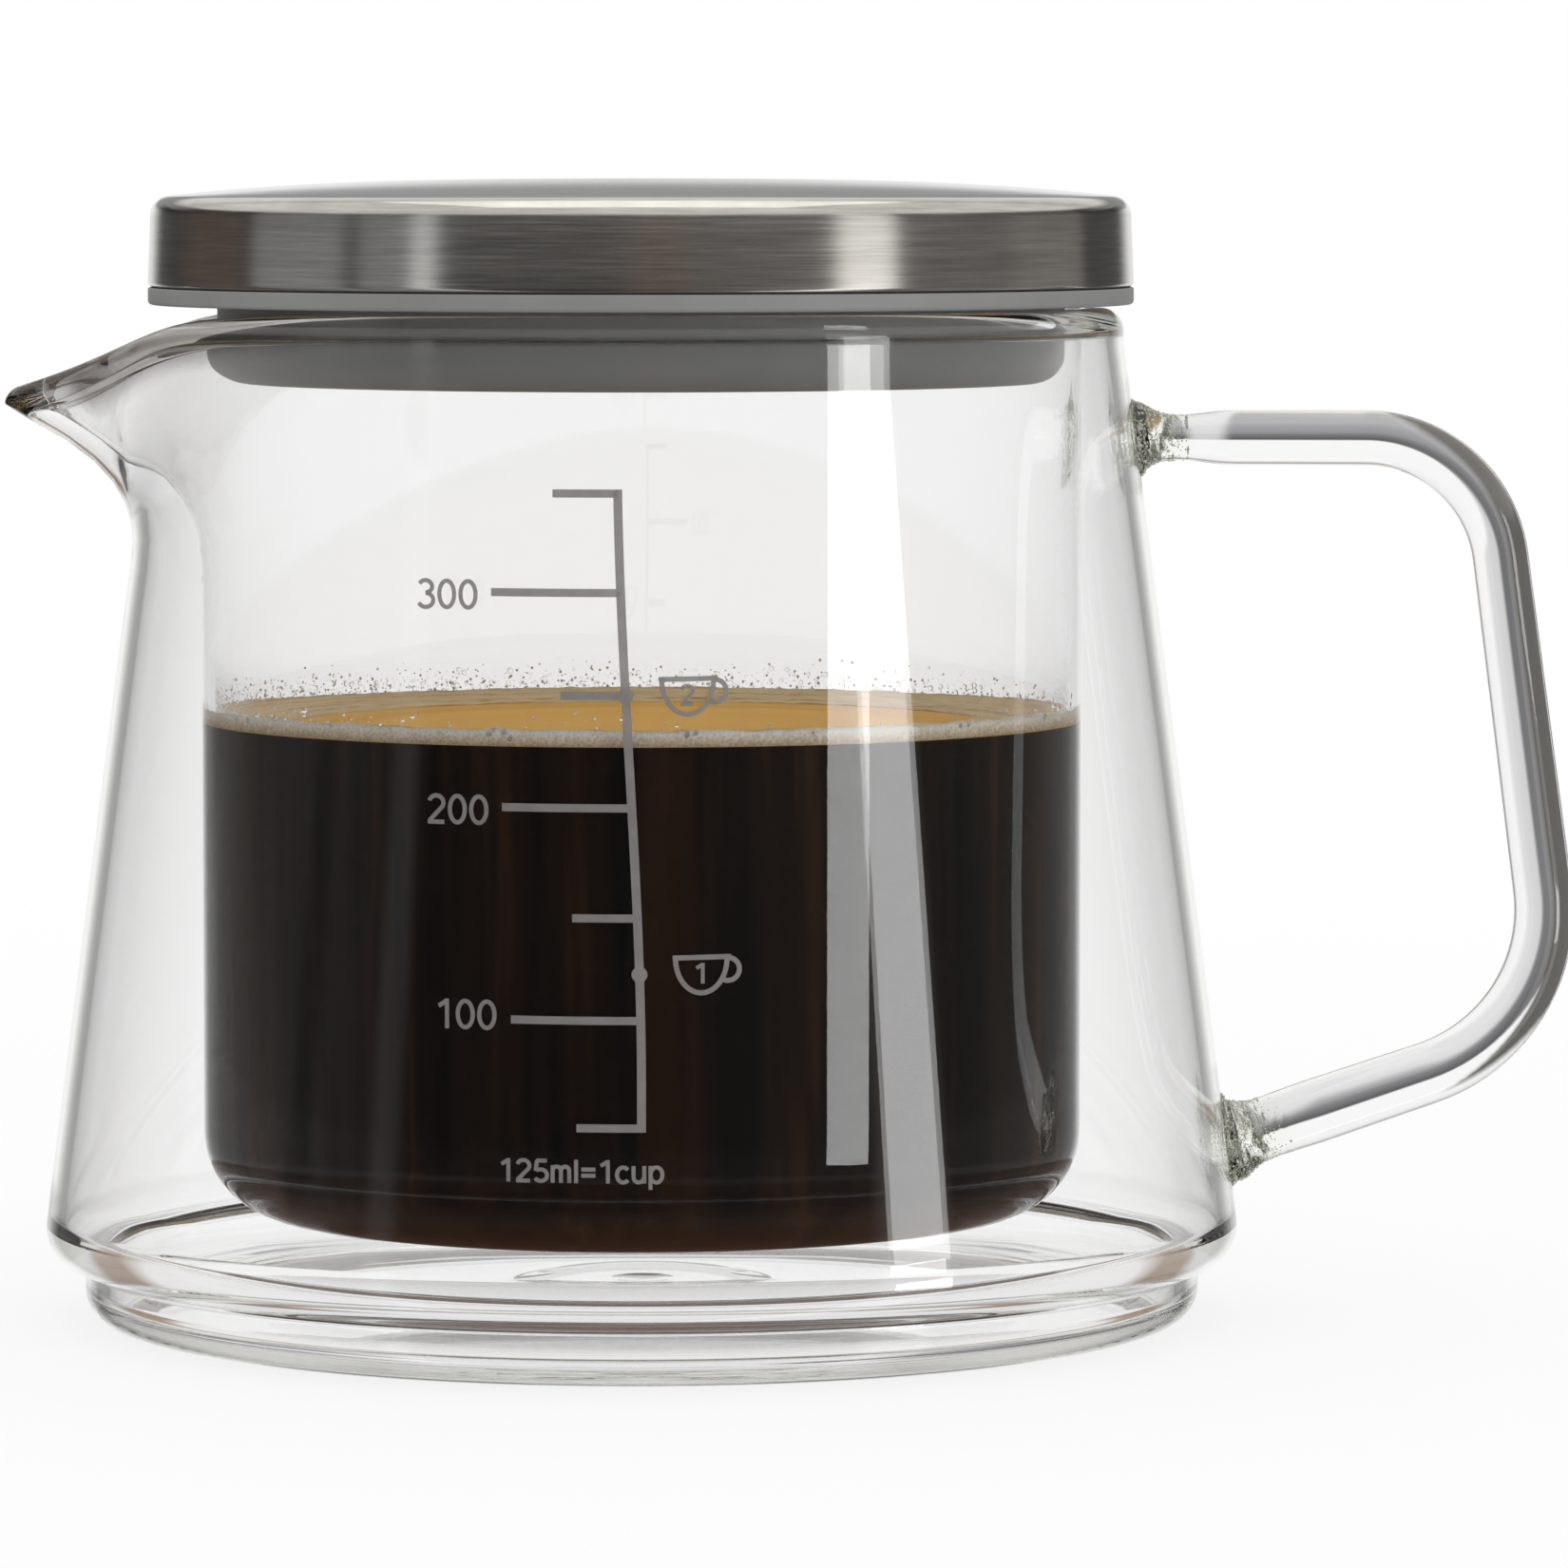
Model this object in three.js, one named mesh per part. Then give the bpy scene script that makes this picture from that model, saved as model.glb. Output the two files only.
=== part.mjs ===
// Double-walled glass coffee carafe with a drawn spout, a fused rod handle and a lift-off lid.
// Millimetres, +Z up. The origin is the centre of the underside; the spout points along -X
// and the handle along +X.

import * as THREE from 'three';

// Clearances
const FUSE_GAP = 0.3; // seam between two pieces of glass that are melted together
const SEAT_GAP = 0.3; // between pieces that rest on or in each other
const PLUG_CLEARANCE = 0.4; // lid plug to the inside of the beaker

// Inner beaker, which holds the coffee and hangs from the rim
const BEAKER_RADIUS = 40.7; // inside
const BEAKER_WALL = 1.2;
const BEAKER_FLOOR = 2.5;
const BEAKER_CORNER = 6.8; // inside radius between wall and floor
const BEAKER_LIFT = 7.5; // air gap between the base and the beaker

// Rim, where the beaker and the jacket are fused
const RIM_TOP = 96.5;
const RIM_HEIGHT = 3.3;
const RIM_OUTER_ROUND = 2.2;
const RIM_INNER_ROUND = 1.5;

// Outer jacket, a cone from the rim down to its widest place
const JACKET_WALL = 1.6;
const JACKET_AIR_GAP = 2.4; // between the two walls, below the rim
const JACKET_FLARE = 11; // widest radius less the rim's radius

// Base dish: a rounded shoulder that closes the jacket, and a stepped foot
const SHOULDER_HEIGHT = 4.5; // from the step to the seam with the jacket
const SHOULDER_ROUND = 4.5;
const FOOT_HEIGHT = 2.9; // inside, from the floor to the step
const FOOT_INSET = 3.6; // widest radius less the foot's radius
const FOOT_WALL = 2.2;
const FOOT_ROUND = 3;
const FOOT_INNER_ROUND = 1.2;
const BASE_FLOOR = 2.5;

// Pip that closes the vent of the air gap
const VENT_RADIUS = 10.5;
const VENT_HEIGHT = 1.2;
const VENT_ROUND = 1;

// Drawn spout: the rim and both walls are pulled out and down around the -X side
const SPOUT_DEPTH = 27; // from the rim's top down to where the pull begins
const SPOUT_LIP = 1.6; // straight part of the lip, below the rim's top
const SPOUT_REACH = 14.5;
const SPOUT_DROP = 7.4;
const SPOUT_LIP_ANGLE = 7.5; // degrees from the middle to half the reach, at the lip
const SPOUT_ROOT_ANGLE = 22; // the same, where the pull begins
const SPOUT_DROP_ANGLE = 9.5; // degrees from the middle to half the drop
const SPOUT_SWEEP = 2.4; // exponent of the reach along the depth

// Handle: a glass rod in one plane, melted to the jacket at both ends
const HANDLE_TOP_DROP = 12.5; // upper limb below the rim's top
const HANDLE_LOW_HEIGHT = 27.4; // where the grip and the lower limb would cross
const HANDLE_FOOT_HEIGHT = 16.7; // lower limb at the wall
const HANDLE_REACH = 33.4; // from the wall to the middle of the grip
const HANDLE_TOP_BEND = 13;
const HANDLE_LOW_BEND = 16.5;
const ROD_TOP_DIAMETER = 5.2;
const ROD_LOW_DIAMETER = 6.4;
const ROD_TAPER = 5; // length over which the rod narrows to its necks
const UPPER_WELD_DIAMETER = 7.4;
const UPPER_NECK_DIAMETER = 4.3;
const LOWER_WELD_DIAMETER = 8.9;
const LOWER_NECK_DIAMETER = 6;
const WELD_LENGTH = 4;

// Lid: a brushed cap, a soft seal with its plug, and the pan inside them
const LID_OVERHANG = 1; // flange past the rim
const FLANGE_THICKNESS = 1.6;
const FLANGE_ROUND = 0.5;
const PLUG_DEPTH = 7.5;
const PLUG_ROUND = 3;
const SEAL_WALL = 4.2;
const CAP_HEIGHT = 10;
const CAP_SHEET = 0.8;
const CAP_TAPER = 0.35; // radius lost from the bottom edge to the top
const CAP_ROUND = 2.2;
const CAP_DOME = 1.8; // rise of the top from its edge to its middle
const CAP_DOME_SWEEP = 3; // exponent of that rise
const PAN_WALL = 1.5;
const PAN_RECESS = 1; // pan floor above the end of the plug
const PAN_ROUND = 1;

// Fineness of the facets
const CHORD_ERROR = 0.12; // of an arc in an outline
const VESSEL_SIDES = 56;
const VESSEL_CROWDING = 0.5; // how much the sides crowd towards the spout
const SPOUT_LEVELS = 6;
const ROUND_SIDES = 48;
const VENT_SIDES = 24;
const ROD_SIDES = 12;
const ROD_STEPS = 40;
const WELD_RINGS = 4;
const DOME_STEPS = 3;

// Places that follow from the sizes
const rimBase = RIM_TOP - RIM_HEIGHT;
const rimWidth = BEAKER_WALL + JACKET_AIR_GAP + JACKET_WALL;
const rimRadius = BEAKER_RADIUS + rimWidth;
const wallTop = rimBase - FUSE_GAP;
const spoutRoot = RIM_TOP - SPOUT_DEPTH;
const stepHeight = BASE_FLOOR + FOOT_HEIGHT;
const seamHeight = stepHeight + SHOULDER_HEIGHT;
const footRadius = rimRadius + JACKET_FLARE - FOOT_INSET;
const beakerBottom = BASE_FLOOR + BEAKER_LIFT;
const handleTop = RIM_TOP - HANDLE_TOP_DROP;
const plugRadius = BEAKER_RADIUS - PLUG_CLEARANCE;
const sealOpening = plugRadius - SEAL_WALL;
const flangeRadius = rimRadius + LID_OVERHANG;

const { clamp, degToRad, lerp, smoothstep } = THREE.MathUtils;

// Materials

function glass(color) {
  return new THREE.MeshStandardMaterial({
    color,
    roughness: 0.04,
    metalness: 0,
    transparent: true,
    opacity: 0.35,
  });
}

const clearGlass = glass(0xe6eeea);
const meltedGlass = glass(0xb9c7b4);
const brushedSteel = new THREE.MeshStandardMaterial({ color: 0x9a9793, roughness: 0.32, metalness: 1 });
const greySilicone = new THREE.MeshStandardMaterial({ color: 0x7d7d7b, roughness: 0.6, metalness: 0 });
const greyPlastic = new THREE.MeshStandardMaterial({ color: 0x6f6f6d, roughness: 0.5, metalness: 0 });

// Outlines

// The points of an outline through corners [x, y, round]. Each corner is rounded by an arc of
// its radius, as far as the shorter of its two sides allows.
function roundedOutline(corners, closed = false) {
  const count = corners.length;
  const cornerAt = (i) => new THREE.Vector2(...corners[(i + count) % count]);
  const points = corners.flatMap(([, , round = 0], i) => {
    const corner = cornerAt(i);
    const isEnd = !closed && (i === 0 || i === count - 1);
    if (round <= 0 || isEnd) return [corner];
    const before = cornerAt(i - 1).sub(corner);
    const after = cornerAt(i + 1).sub(corner);
    const halfAngle = before.angleTo(after) / 2;
    const room = 0.95 * Math.min(before.length(), after.length());
    const tangent = Math.min(round / Math.tan(halfAngle), room);
    const radius = tangent * Math.tan(halfAngle);
    const start = corner.clone().addScaledVector(before.normalize(), tangent);
    const end = corner.clone().addScaledVector(after.normalize(), tangent);
    const inward = before.add(after).normalize();
    const centre = corner.clone().addScaledVector(inward, radius / Math.sin(halfAngle));
    const from = start.clone().sub(centre);
    const to = end.clone().sub(centre);
    const turn = Math.atan2(from.cross(to), from.dot(to));
    const largestStep = 2 * Math.acos(1 - Math.min(CHORD_ERROR / radius, 1));
    const steps = Math.ceil(Math.abs(turn) / largestStep);
    return Array.from({ length: steps + 1 }, (_, k) => {
      return start.clone().rotateAround(centre, (turn * k) / steps);
    });
  });
  return closed ? [...points, points[0].clone()] : points;
}

// An outline of [radius, height] points turned about the Z axis.
function turned(outline, sides) {
  return new THREE.LatheGeometry(outline, sides).rotateX(Math.PI / 2);
}

// Spout

// A bell curve that is one in the spout's middle and a half at halfAngle degrees from it.
function spoutBell(angle, halfAngle) {
  return 1 / (1 + (angle / degToRad(halfAngle)) ** 2);
}

// Where a point of the round vessel goes when the spout is drawn, with the angle measured
// from the spout's middle.
function drawnPoint(radius, height, angle) {
  const depth = clamp((height - spoutRoot) / (SPOUT_DEPTH - SPOUT_LIP), 0, 1);
  const wallDepth = clamp((height - spoutRoot) / (rimBase - spoutRoot), 0, 1);
  const halfAngle = lerp(SPOUT_ROOT_ANGLE, SPOUT_LIP_ANGLE, depth);
  return {
    radius: radius + SPOUT_REACH * depth ** SPOUT_SWEEP * spoutBell(angle, halfAngle),
    height: height - SPOUT_DROP * wallDepth * spoutBell(angle, SPOUT_DROP_ANGLE),
  };
}

// Turns an outline into a piece of the vessel, with its sides crowded towards the spout,
// and draws the spout out of it.
function drawnVessel(outline) {
  const geometry = turned(outline, VESSEL_SIDES);
  const position = geometry.attributes.position;
  for (let i = 0; i < position.count; i += 1) {
    const x = position.getX(i);
    const y = position.getY(i);
    const evenAngle = Math.atan2(y, -x);
    const angle = evenAngle - VESSEL_CROWDING * Math.sin(evenAngle);
    const { radius, height } = drawnPoint(Math.hypot(x, y), position.getZ(i), angle);
    position.setXYZ(i, -radius * Math.cos(angle), radius * Math.sin(angle), height);
  }
  return geometry;
}

// Corners up a wall from the spout's root to the wall's top.
function spoutLevels(radiusAt) {
  return Array.from({ length: SPOUT_LEVELS + 1 }, (_, k) => {
    const height = lerp(spoutRoot, wallTop, k / SPOUT_LEVELS);
    return [radiusAt(height), height];
  });
}

// Glass vessel

function jacketRadius(height) {
  const slope = JACKET_FLARE / (rimBase - seamHeight);
  return rimRadius + (rimBase - height) * slope;
}

function jacketInside(height) {
  return jacketRadius(height) - JACKET_WALL;
}

function innerBeaker() {
  const outside = BEAKER_RADIUS + BEAKER_WALL;
  const floorTop = beakerBottom + BEAKER_FLOOR;
  return drawnVessel(roundedOutline([
    [0, beakerBottom],
    [outside, beakerBottom, BEAKER_CORNER + BEAKER_WALL],
    ...spoutLevels(() => outside),
    ...spoutLevels(() => BEAKER_RADIUS).reverse(),
    [BEAKER_RADIUS, floorTop, BEAKER_CORNER],
    [0, floorTop],
  ]));
}

function outerJacket() {
  const bottom = seamHeight + FUSE_GAP;
  return drawnVessel(roundedOutline([
    [jacketRadius(bottom), bottom],
    ...spoutLevels(jacketRadius),
    ...spoutLevels(jacketInside).reverse(),
    [jacketInside(bottom), bottom],
  ], true));
}

function rimWeld() {
  return drawnVessel(roundedOutline([
    [BEAKER_RADIUS, rimBase],
    [rimRadius, rimBase],
    [rimRadius, RIM_TOP, RIM_OUTER_ROUND],
    [BEAKER_RADIUS, RIM_TOP, RIM_INNER_ROUND],
  ], true));
}

function baseDish() {
  const footInside = footRadius - FOOT_WALL;
  const stepInside = stepHeight + JACKET_WALL;
  return turned(roundedOutline([
    [0, 0],
    [footRadius, 0, FOOT_ROUND],
    [footRadius, stepHeight],
    [jacketRadius(stepHeight), stepHeight, SHOULDER_ROUND],
    [jacketRadius(seamHeight), seamHeight],
    [jacketInside(seamHeight), seamHeight],
    [jacketInside(stepInside), stepInside, SHOULDER_ROUND - JACKET_WALL],
    [footInside, stepInside],
    [footInside, BASE_FLOOR, FOOT_INNER_ROUND],
    [0, BASE_FLOOR],
  ]), ROUND_SIDES);
}

function ventSeal() {
  const bottom = BASE_FLOOR + FUSE_GAP;
  return turned(roundedOutline([
    [0, bottom],
    [VENT_RADIUS, bottom],
    [VENT_RADIUS, bottom + VENT_HEIGHT, VENT_ROUND],
    [0, bottom + VENT_HEIGHT],
  ]), VENT_SIDES);
}

// Handle

// A closed solid through rings of points, capped at its first and last ring.
function loft(rings) {
  const sides = rings[0].length;
  const middleOf = (ring) => {
    return ring.reduce((sum, point) => sum.add(point), new THREE.Vector3()).divideScalar(sides);
  };
  const points = [...rings.flat(), middleOf(rings[0]), middleOf(rings.at(-1))];
  const lastRing = (rings.length - 1) * sides;
  const firstMiddle = lastRing + sides;
  const lastMiddle = firstMiddle + 1;
  const index = [];
  for (let side = 0; side < sides; side += 1) {
    const next = (side + 1) % sides;
    index.push(firstMiddle, side, next);
    index.push(lastMiddle, lastRing + next, lastRing + side);
    for (let ring = 0; ring < lastRing; ring += sides) {
      index.push(ring + side, ring + sides + next, ring + next);
      index.push(ring + side, ring + sides + side, ring + sides + next);
    }
  }
  const geometry = new THREE.BufferGeometry().setFromPoints(points);
  geometry.setIndex(index);
  return geometry;
}

// A ring of the rod about a middle in the XZ plane, square to the rod's direction there.
function rodRing(middle, direction, diameter) {
  return Array.from({ length: ROD_SIDES }, (_, k) => {
    const angle = (2 * Math.PI * k) / ROD_SIDES;
    const across = (diameter / 2) * Math.sin(angle);
    const sideways = (-diameter / 2) * Math.cos(angle);
    return new THREE.Vector3(middle.x - direction.y * across, sideways, middle.y + direction.x * across);
  });
}

// Corners of the handle's middle line in the XZ plane, from the upper to the lower wall.
const upperWall = new THREE.Vector2(jacketRadius(handleTop), handleTop);
const upperCorner = new THREE.Vector2(upperWall.x + HANDLE_REACH, handleTop);
const lowerCorner = new THREE.Vector2(jacketRadius(HANDLE_LOW_HEIGHT) + HANDLE_REACH, HANDLE_LOW_HEIGHT);
const lowerWall = new THREE.Vector2(jacketRadius(HANDLE_FOOT_HEIGHT), HANDLE_FOOT_HEIGHT);

// One melted end: its wide ring follows the wall and its narrow ring is square to the rod.
function handleWeld(wall, corner, weldDiameter, neckDiameter) {
  const direction = corner.clone().sub(wall).normalize();
  const rings = Array.from({ length: WELD_RINGS + 1 }, (_, k) => {
    const share = k / WELD_RINGS;
    const middle = wall.clone().addScaledVector(direction, FUSE_GAP + WELD_LENGTH * share);
    const diameter = lerp(neckDiameter, weldDiameter, (1 - share) ** 2);
    return rodRing(middle, direction, diameter);
  });
  rings[0].forEach((point) => {
    point.x = Math.sqrt(jacketRadius(point.z) ** 2 - point.y ** 2) + FUSE_GAP;
  });
  return loft(rings);
}

function rodHandle() {
  const endOf = (wall, corner) => {
    const direction = corner.clone().sub(wall).normalize();
    return wall.clone().addScaledVector(direction, WELD_LENGTH + 2 * FUSE_GAP);
  };
  const line = roundedOutline([
    endOf(upperWall, upperCorner).toArray(),
    [...upperCorner, HANDLE_TOP_BEND],
    [...lowerCorner, HANDLE_LOW_BEND],
    endOf(lowerWall, lowerCorner).toArray(),
  ]);
  const path = new THREE.Path(line);
  const length = path.getLength();
  return loft(path.getSpacedPoints(ROD_STEPS).map((middle, i) => {
    const share = i / ROD_STEPS;
    const full = lerp(ROD_TOP_DIAMETER, ROD_LOW_DIAMETER, share ** 2);
    const fromUpper = smoothstep(share * length, 0, ROD_TAPER);
    const fromLower = smoothstep((1 - share) * length, 0, ROD_TAPER);
    const upperNeck = (1 - fromUpper) * (full - UPPER_NECK_DIAMETER);
    const lowerNeck = (1 - fromLower) * (full - LOWER_NECK_DIAMETER);
    return rodRing(middle, path.getTangentAt(share), full - upperNeck - lowerNeck);
  }));
}

// Lid, with height zero where its flange rests on the rim

const collarBottom = FLANGE_THICKNESS + SEAT_GAP;

// Corners of the cap's domed face, from its middle outwards, set in by an inset.
function domeCorners(inset) {
  const edgeRadius = flangeRadius - CAP_TAPER - inset;
  const top = collarBottom + CAP_HEIGHT - inset;
  return Array.from({ length: DOME_STEPS + 1 }, (_, k) => {
    const share = k / DOME_STEPS;
    const round = k === DOME_STEPS ? CAP_ROUND - inset : 0;
    return [edgeRadius * share, top - CAP_DOME * share ** CAP_DOME_SWEEP, round];
  });
}

function lidCap() {
  return turned(roundedOutline([
    ...domeCorners(CAP_SHEET),
    [flangeRadius - CAP_SHEET, collarBottom],
    [flangeRadius, collarBottom],
    ...domeCorners(0).reverse(),
  ]), ROUND_SIDES);
}

function lidSeal() {
  return turned(roundedOutline([
    [sealOpening, -PLUG_DEPTH],
    [plugRadius, -PLUG_DEPTH, PLUG_ROUND],
    [plugRadius, 0],
    [flangeRadius, 0, FLANGE_ROUND],
    [flangeRadius, FLANGE_THICKNESS, FLANGE_ROUND],
    [sealOpening, FLANGE_THICKNESS],
  ], true), ROUND_SIDES);
}

function lidPan() {
  const outside = sealOpening - SEAT_GAP;
  const inside = outside - PAN_WALL;
  const floor = PAN_RECESS - PLUG_DEPTH;
  const collarTop = collarBottom + PAN_WALL;
  const collarRadius = flangeRadius - CAP_TAPER - CAP_SHEET - SEAT_GAP;
  return turned(roundedOutline([
    [0, floor],
    [outside, floor, PAN_ROUND],
    [outside, collarBottom],
    [collarRadius, collarBottom],
    [collarRadius, collarTop],
    [inside, collarTop],
    [inside, floor + PAN_WALL, PAN_ROUND],
    [0, floor + PAN_WALL],
  ]), ROUND_SIDES);
}

// Assembly

function piece(name, geometry, material) {
  const mesh = new THREE.Mesh(geometry, material);
  mesh.name = name;
  return mesh;
}

const upperWeld = handleWeld(upperWall, upperCorner, UPPER_WELD_DIAMETER, UPPER_NECK_DIAMETER);
const lowerWeld = handleWeld(lowerWall, lowerCorner, LOWER_WELD_DIAMETER, LOWER_NECK_DIAMETER);

const carafe = new THREE.Group();
carafe.add(
  piece('inner_beaker', innerBeaker(), clearGlass),
  piece('outer_jacket', outerJacket(), clearGlass),
  piece('rim_weld', rimWeld(), meltedGlass),
  piece('base_dish', baseDish(), clearGlass),
  piece('vent_seal', ventSeal(), meltedGlass),
  piece('handle', rodHandle(), clearGlass),
  piece('upper_handle_weld', upperWeld, meltedGlass),
  piece('lower_handle_weld', lowerWeld, meltedGlass),
);

const lid = new THREE.Group();
lid.position.z = RIM_TOP + SEAT_GAP;
lid.add(
  piece('lid_cap', lidCap(), brushedSteel),
  piece('lid_seal', lidSeal(), greySilicone),
  piece('lid_pan', lidPan(), greyPlastic),
);

const coffeeMaker = new THREE.Group();
coffeeMaker.add(carafe, lid);

export default coffeeMaker;
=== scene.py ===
import math

import bpy
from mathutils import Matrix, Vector, noise


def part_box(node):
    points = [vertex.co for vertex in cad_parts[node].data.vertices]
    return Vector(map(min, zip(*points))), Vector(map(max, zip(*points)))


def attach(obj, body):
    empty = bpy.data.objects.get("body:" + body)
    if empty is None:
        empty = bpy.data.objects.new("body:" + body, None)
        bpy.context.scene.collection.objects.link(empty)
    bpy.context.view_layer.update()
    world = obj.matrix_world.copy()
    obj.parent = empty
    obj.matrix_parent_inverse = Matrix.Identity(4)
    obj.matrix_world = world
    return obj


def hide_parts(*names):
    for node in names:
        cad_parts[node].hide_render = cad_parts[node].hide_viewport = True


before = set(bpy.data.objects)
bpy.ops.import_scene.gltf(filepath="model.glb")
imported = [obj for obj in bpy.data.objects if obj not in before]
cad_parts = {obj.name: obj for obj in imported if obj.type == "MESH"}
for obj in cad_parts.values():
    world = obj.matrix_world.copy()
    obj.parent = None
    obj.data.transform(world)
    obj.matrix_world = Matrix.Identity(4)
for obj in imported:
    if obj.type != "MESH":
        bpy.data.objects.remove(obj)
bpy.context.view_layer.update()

MM = 0.001

# Places taken from the frame
rim_low, rim_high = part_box("rim_weld")
beaker_low, beaker_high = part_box("inner_beaker")
dish_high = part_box("base_dish")[1]
seal_low, seal_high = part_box("lid_seal")
cap_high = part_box("lid_cap")[1]
pan_low, pan_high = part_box("lid_pan")

RIM_TOP = rim_high.z
RIM_RADIUS = rim_high.x
RIM_BASE = RIM_TOP - 3.3 * MM
BEAKER_OUTSIDE = beaker_high.x
BEAKER_BOTTOM = beaker_low.z
SEAM_HEIGHT = dish_high.z
WIDEST_RADIUS = RIM_RADIUS + 11 * MM

# Glass walls
BEAKER_WALL = 1.2 * MM
BEAKER_FLOOR = 2.5 * MM
BEAKER_CORNER = 6.8 * MM
JACKET_WALL = 1.6 * MM
RIM_OUTER_ROUND = 2.2 * MM
RIM_INNER_ROUND = 1.5 * MM
STEP_HEIGHT = 5.4 * MM
SHOULDER_ROUND = 4.5 * MM
FOOT_RADIUS = WIDEST_RADIUS - 3.6 * MM
FOOT_WALL = 2.2 * MM
FOOT_ROUND = 3 * MM
FOOT_RECESS = 0.9 * MM  # of the underside, inside the ring that it stands on
BASE_FLOOR = 2.5 * MM
VENT_RADIUS = 9 * MM
VENT_RISE = 0.5 * MM

HOLLOW_TOP = RIM_BASE + 1.1 * MM
BEAKER_INSIDE = BEAKER_OUTSIDE - BEAKER_WALL
BEAKER_FLOOR_TOP = BEAKER_BOTTOM + BEAKER_FLOOR
JACKET_SLOPE = (WIDEST_RADIUS - RIM_RADIUS) / (RIM_BASE - SEAM_HEIGHT)

# Drawn spout, by the rule that the solids follow
SPOUT = {
    "Depth": 27 * MM,
    "Lip": 1.8 * MM,  # straight part below the rim's top
    "Reach": 14.9 * MM,
    "Drop": 7.4 * MM,
    "Lip angle": math.radians(7.5),
    "Root angle": math.radians(22),
    "Drop angle": math.radians(9.5),
    "Sweep": 2.9,
    "Rim top": RIM_TOP,
    "Rim base": RIM_BASE,
}

# Handle
HANDLE_TOP = RIM_TOP - 12.5 * MM
HANDLE_LOW = 27.4 * MM
HANDLE_FOOT = 16.7 * MM
HANDLE_REACH = 33.4 * MM
HANDLE_TOP_BEND = 13 * MM
HANDLE_LOW_BEND = 16.5 * MM
WELD_BITE = 0.8 * MM  # how far a melted end goes into the jacket wall
ROD_RADIUS = 2.6 * MM  # at the upper end
ROD_SWELL = 0.6 * MM  # what the lower end has more
WELD_LENGTH = 4 * MM
NECK_LENGTH = 9.5 * MM

# Lid
CAP_SHEET = 0.8 * MM
CAP_INSET = 0.35 * MM  # of the cap's wall from the seal's edge, at the top
CAP_ROUND = 1.8 * MM
CAP_SAG = 1.8 * MM  # of the domed top towards its edge
SEAL_PLAY = 0.4 * MM  # between the plug and the beaker
SEAL_WALL = 4.2 * MM
SEAL_REST = RIM_TOP + 0.3 * MM
PAN_WALL = 1.5 * MM
PAN_PLAY = 0.3 * MM

# Coffee
COFFEE_LEVEL = 56.6 * MM
MENISCUS = 0.6 * MM
FOAM_TOP = 58.6 * MM

# Printed scale
SCALE_BOTTOM = 22.45 * MM  # height of the lowest mark
SCALE_MARKS = [rise * MM for rise in (0, 9.84, 19.19, 29.23, 39.45, 48.80, 57.82)]
SHORT_MARK = 5.9 * MM
LONG_MARK = 11.9 * MM
MARK_WIDTH = 0.74 * MM
STEM_WIDTH = 0.8 * MM
PRINT_THICKNESS = 0.04 * MM

scene = bpy.context.scene


# Node trees


def add_node(tree, kind, inputs=None, **settings):
    """A node of a kind with its settings; each input is a value or the socket that feeds it."""
    node = tree.nodes.new(kind)
    for name, value in settings.items():
        setattr(node, name, value)
    for key, value in (inputs or {}).items():
        if isinstance(value, bpy.types.NodeSocket):
            tree.links.new(value, node.inputs[key])
        else:
            node.inputs[key].default_value = value
    return node


def calc(tree, operation, *values, clamp=False):
    """The output of a Math node."""
    node = add_node(tree, "ShaderNodeMath", dict(enumerate(values)), operation=operation, use_clamp=clamp)
    return node.outputs[0]


def times(tree, first, second):
    return calc(tree, "MULTIPLY", first, second)


def plus(tree, first, second):
    return calc(tree, "ADD", first, second)


def minus(tree, first, second):
    return calc(tree, "SUBTRACT", first, second)


def parted(tree, place):
    """X, Y and Z of a place."""
    return add_node(tree, "ShaderNodeSeparateXYZ", {0: place}).outputs


def place_of(tree, x, y, z):
    return add_node(tree, "ShaderNodeCombineXYZ", {0: x, 1: y, 2: z}).outputs[0]


def from_axis(tree, x, y):
    return calc(tree, "SQRT", plus(tree, times(tree, x, x), times(tree, y, y)))


def mottle(tree, place, scale, detail=2.0, roughness=0.5):
    """Noise between 0 and 1."""
    return add_node(tree, "ShaderNodeTexNoise", {
        "Vector": place, "Scale": scale, "Detail": detail, "Roughness": roughness,
    }).outputs["Fac"]


def between(tree, value, low, high, first=0.0, last=1.0, kind="LINEAR"):
    """Carries a value between two limits to a value between two others."""
    return add_node(tree, "ShaderNodeMapRange", {
        "Value": value, "From Min": low, "From Max": high, "To Min": first, "To Max": last,
    }, interpolation_type=kind).outputs[0]


def ramp(tree, value, stops):
    """The colour of a value between 0 and 1 by stops of (place, colour); one number is a grey."""
    node = add_node(tree, "ShaderNodeValToRGB", {"Fac": value})
    elements = node.color_ramp.elements
    while len(elements) < len(stops):
        elements.new(1)
    for element, (place, colour) in zip(elements, stops):
        element.position = place
        element.color = (*colour, 1) if isinstance(colour, tuple) else (colour, colour, colour, 1)
    return node.outputs["Color"]


def blend(tree, share, first, second):
    """A colour between two colours, each a value or a socket."""
    node = tree.nodes.new("ShaderNodeMix")
    node.data_type = "RGBA"
    colours = [s for s in node.inputs if s.type == "RGBA"]
    factor = next(s for s in node.inputs if s.type == "VALUE")
    for socket, value in ((factor, share), (colours[0], first), (colours[1], second)):
        if isinstance(value, bpy.types.NodeSocket):
            tree.links.new(value, socket)
        else:
            socket.default_value = (*value, 1) if isinstance(value, tuple) else value
    return next(s for s in node.outputs if s.type == "RGBA")


def new_material(name, **shader):
    """A material, its tree and its shader, with values set on the shader's own sockets."""
    material = bpy.data.materials.new(name)
    material.use_nodes = True
    tree = material.node_tree
    principled = tree.nodes["Principled BSDF"]
    for key, value in shader.items():
        principled.inputs[key.replace("_", " ")].default_value = value
    return material, tree, principled


def object_place(tree):
    return add_node(tree, "ShaderNodeTexCoord").outputs["Object"]


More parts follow.
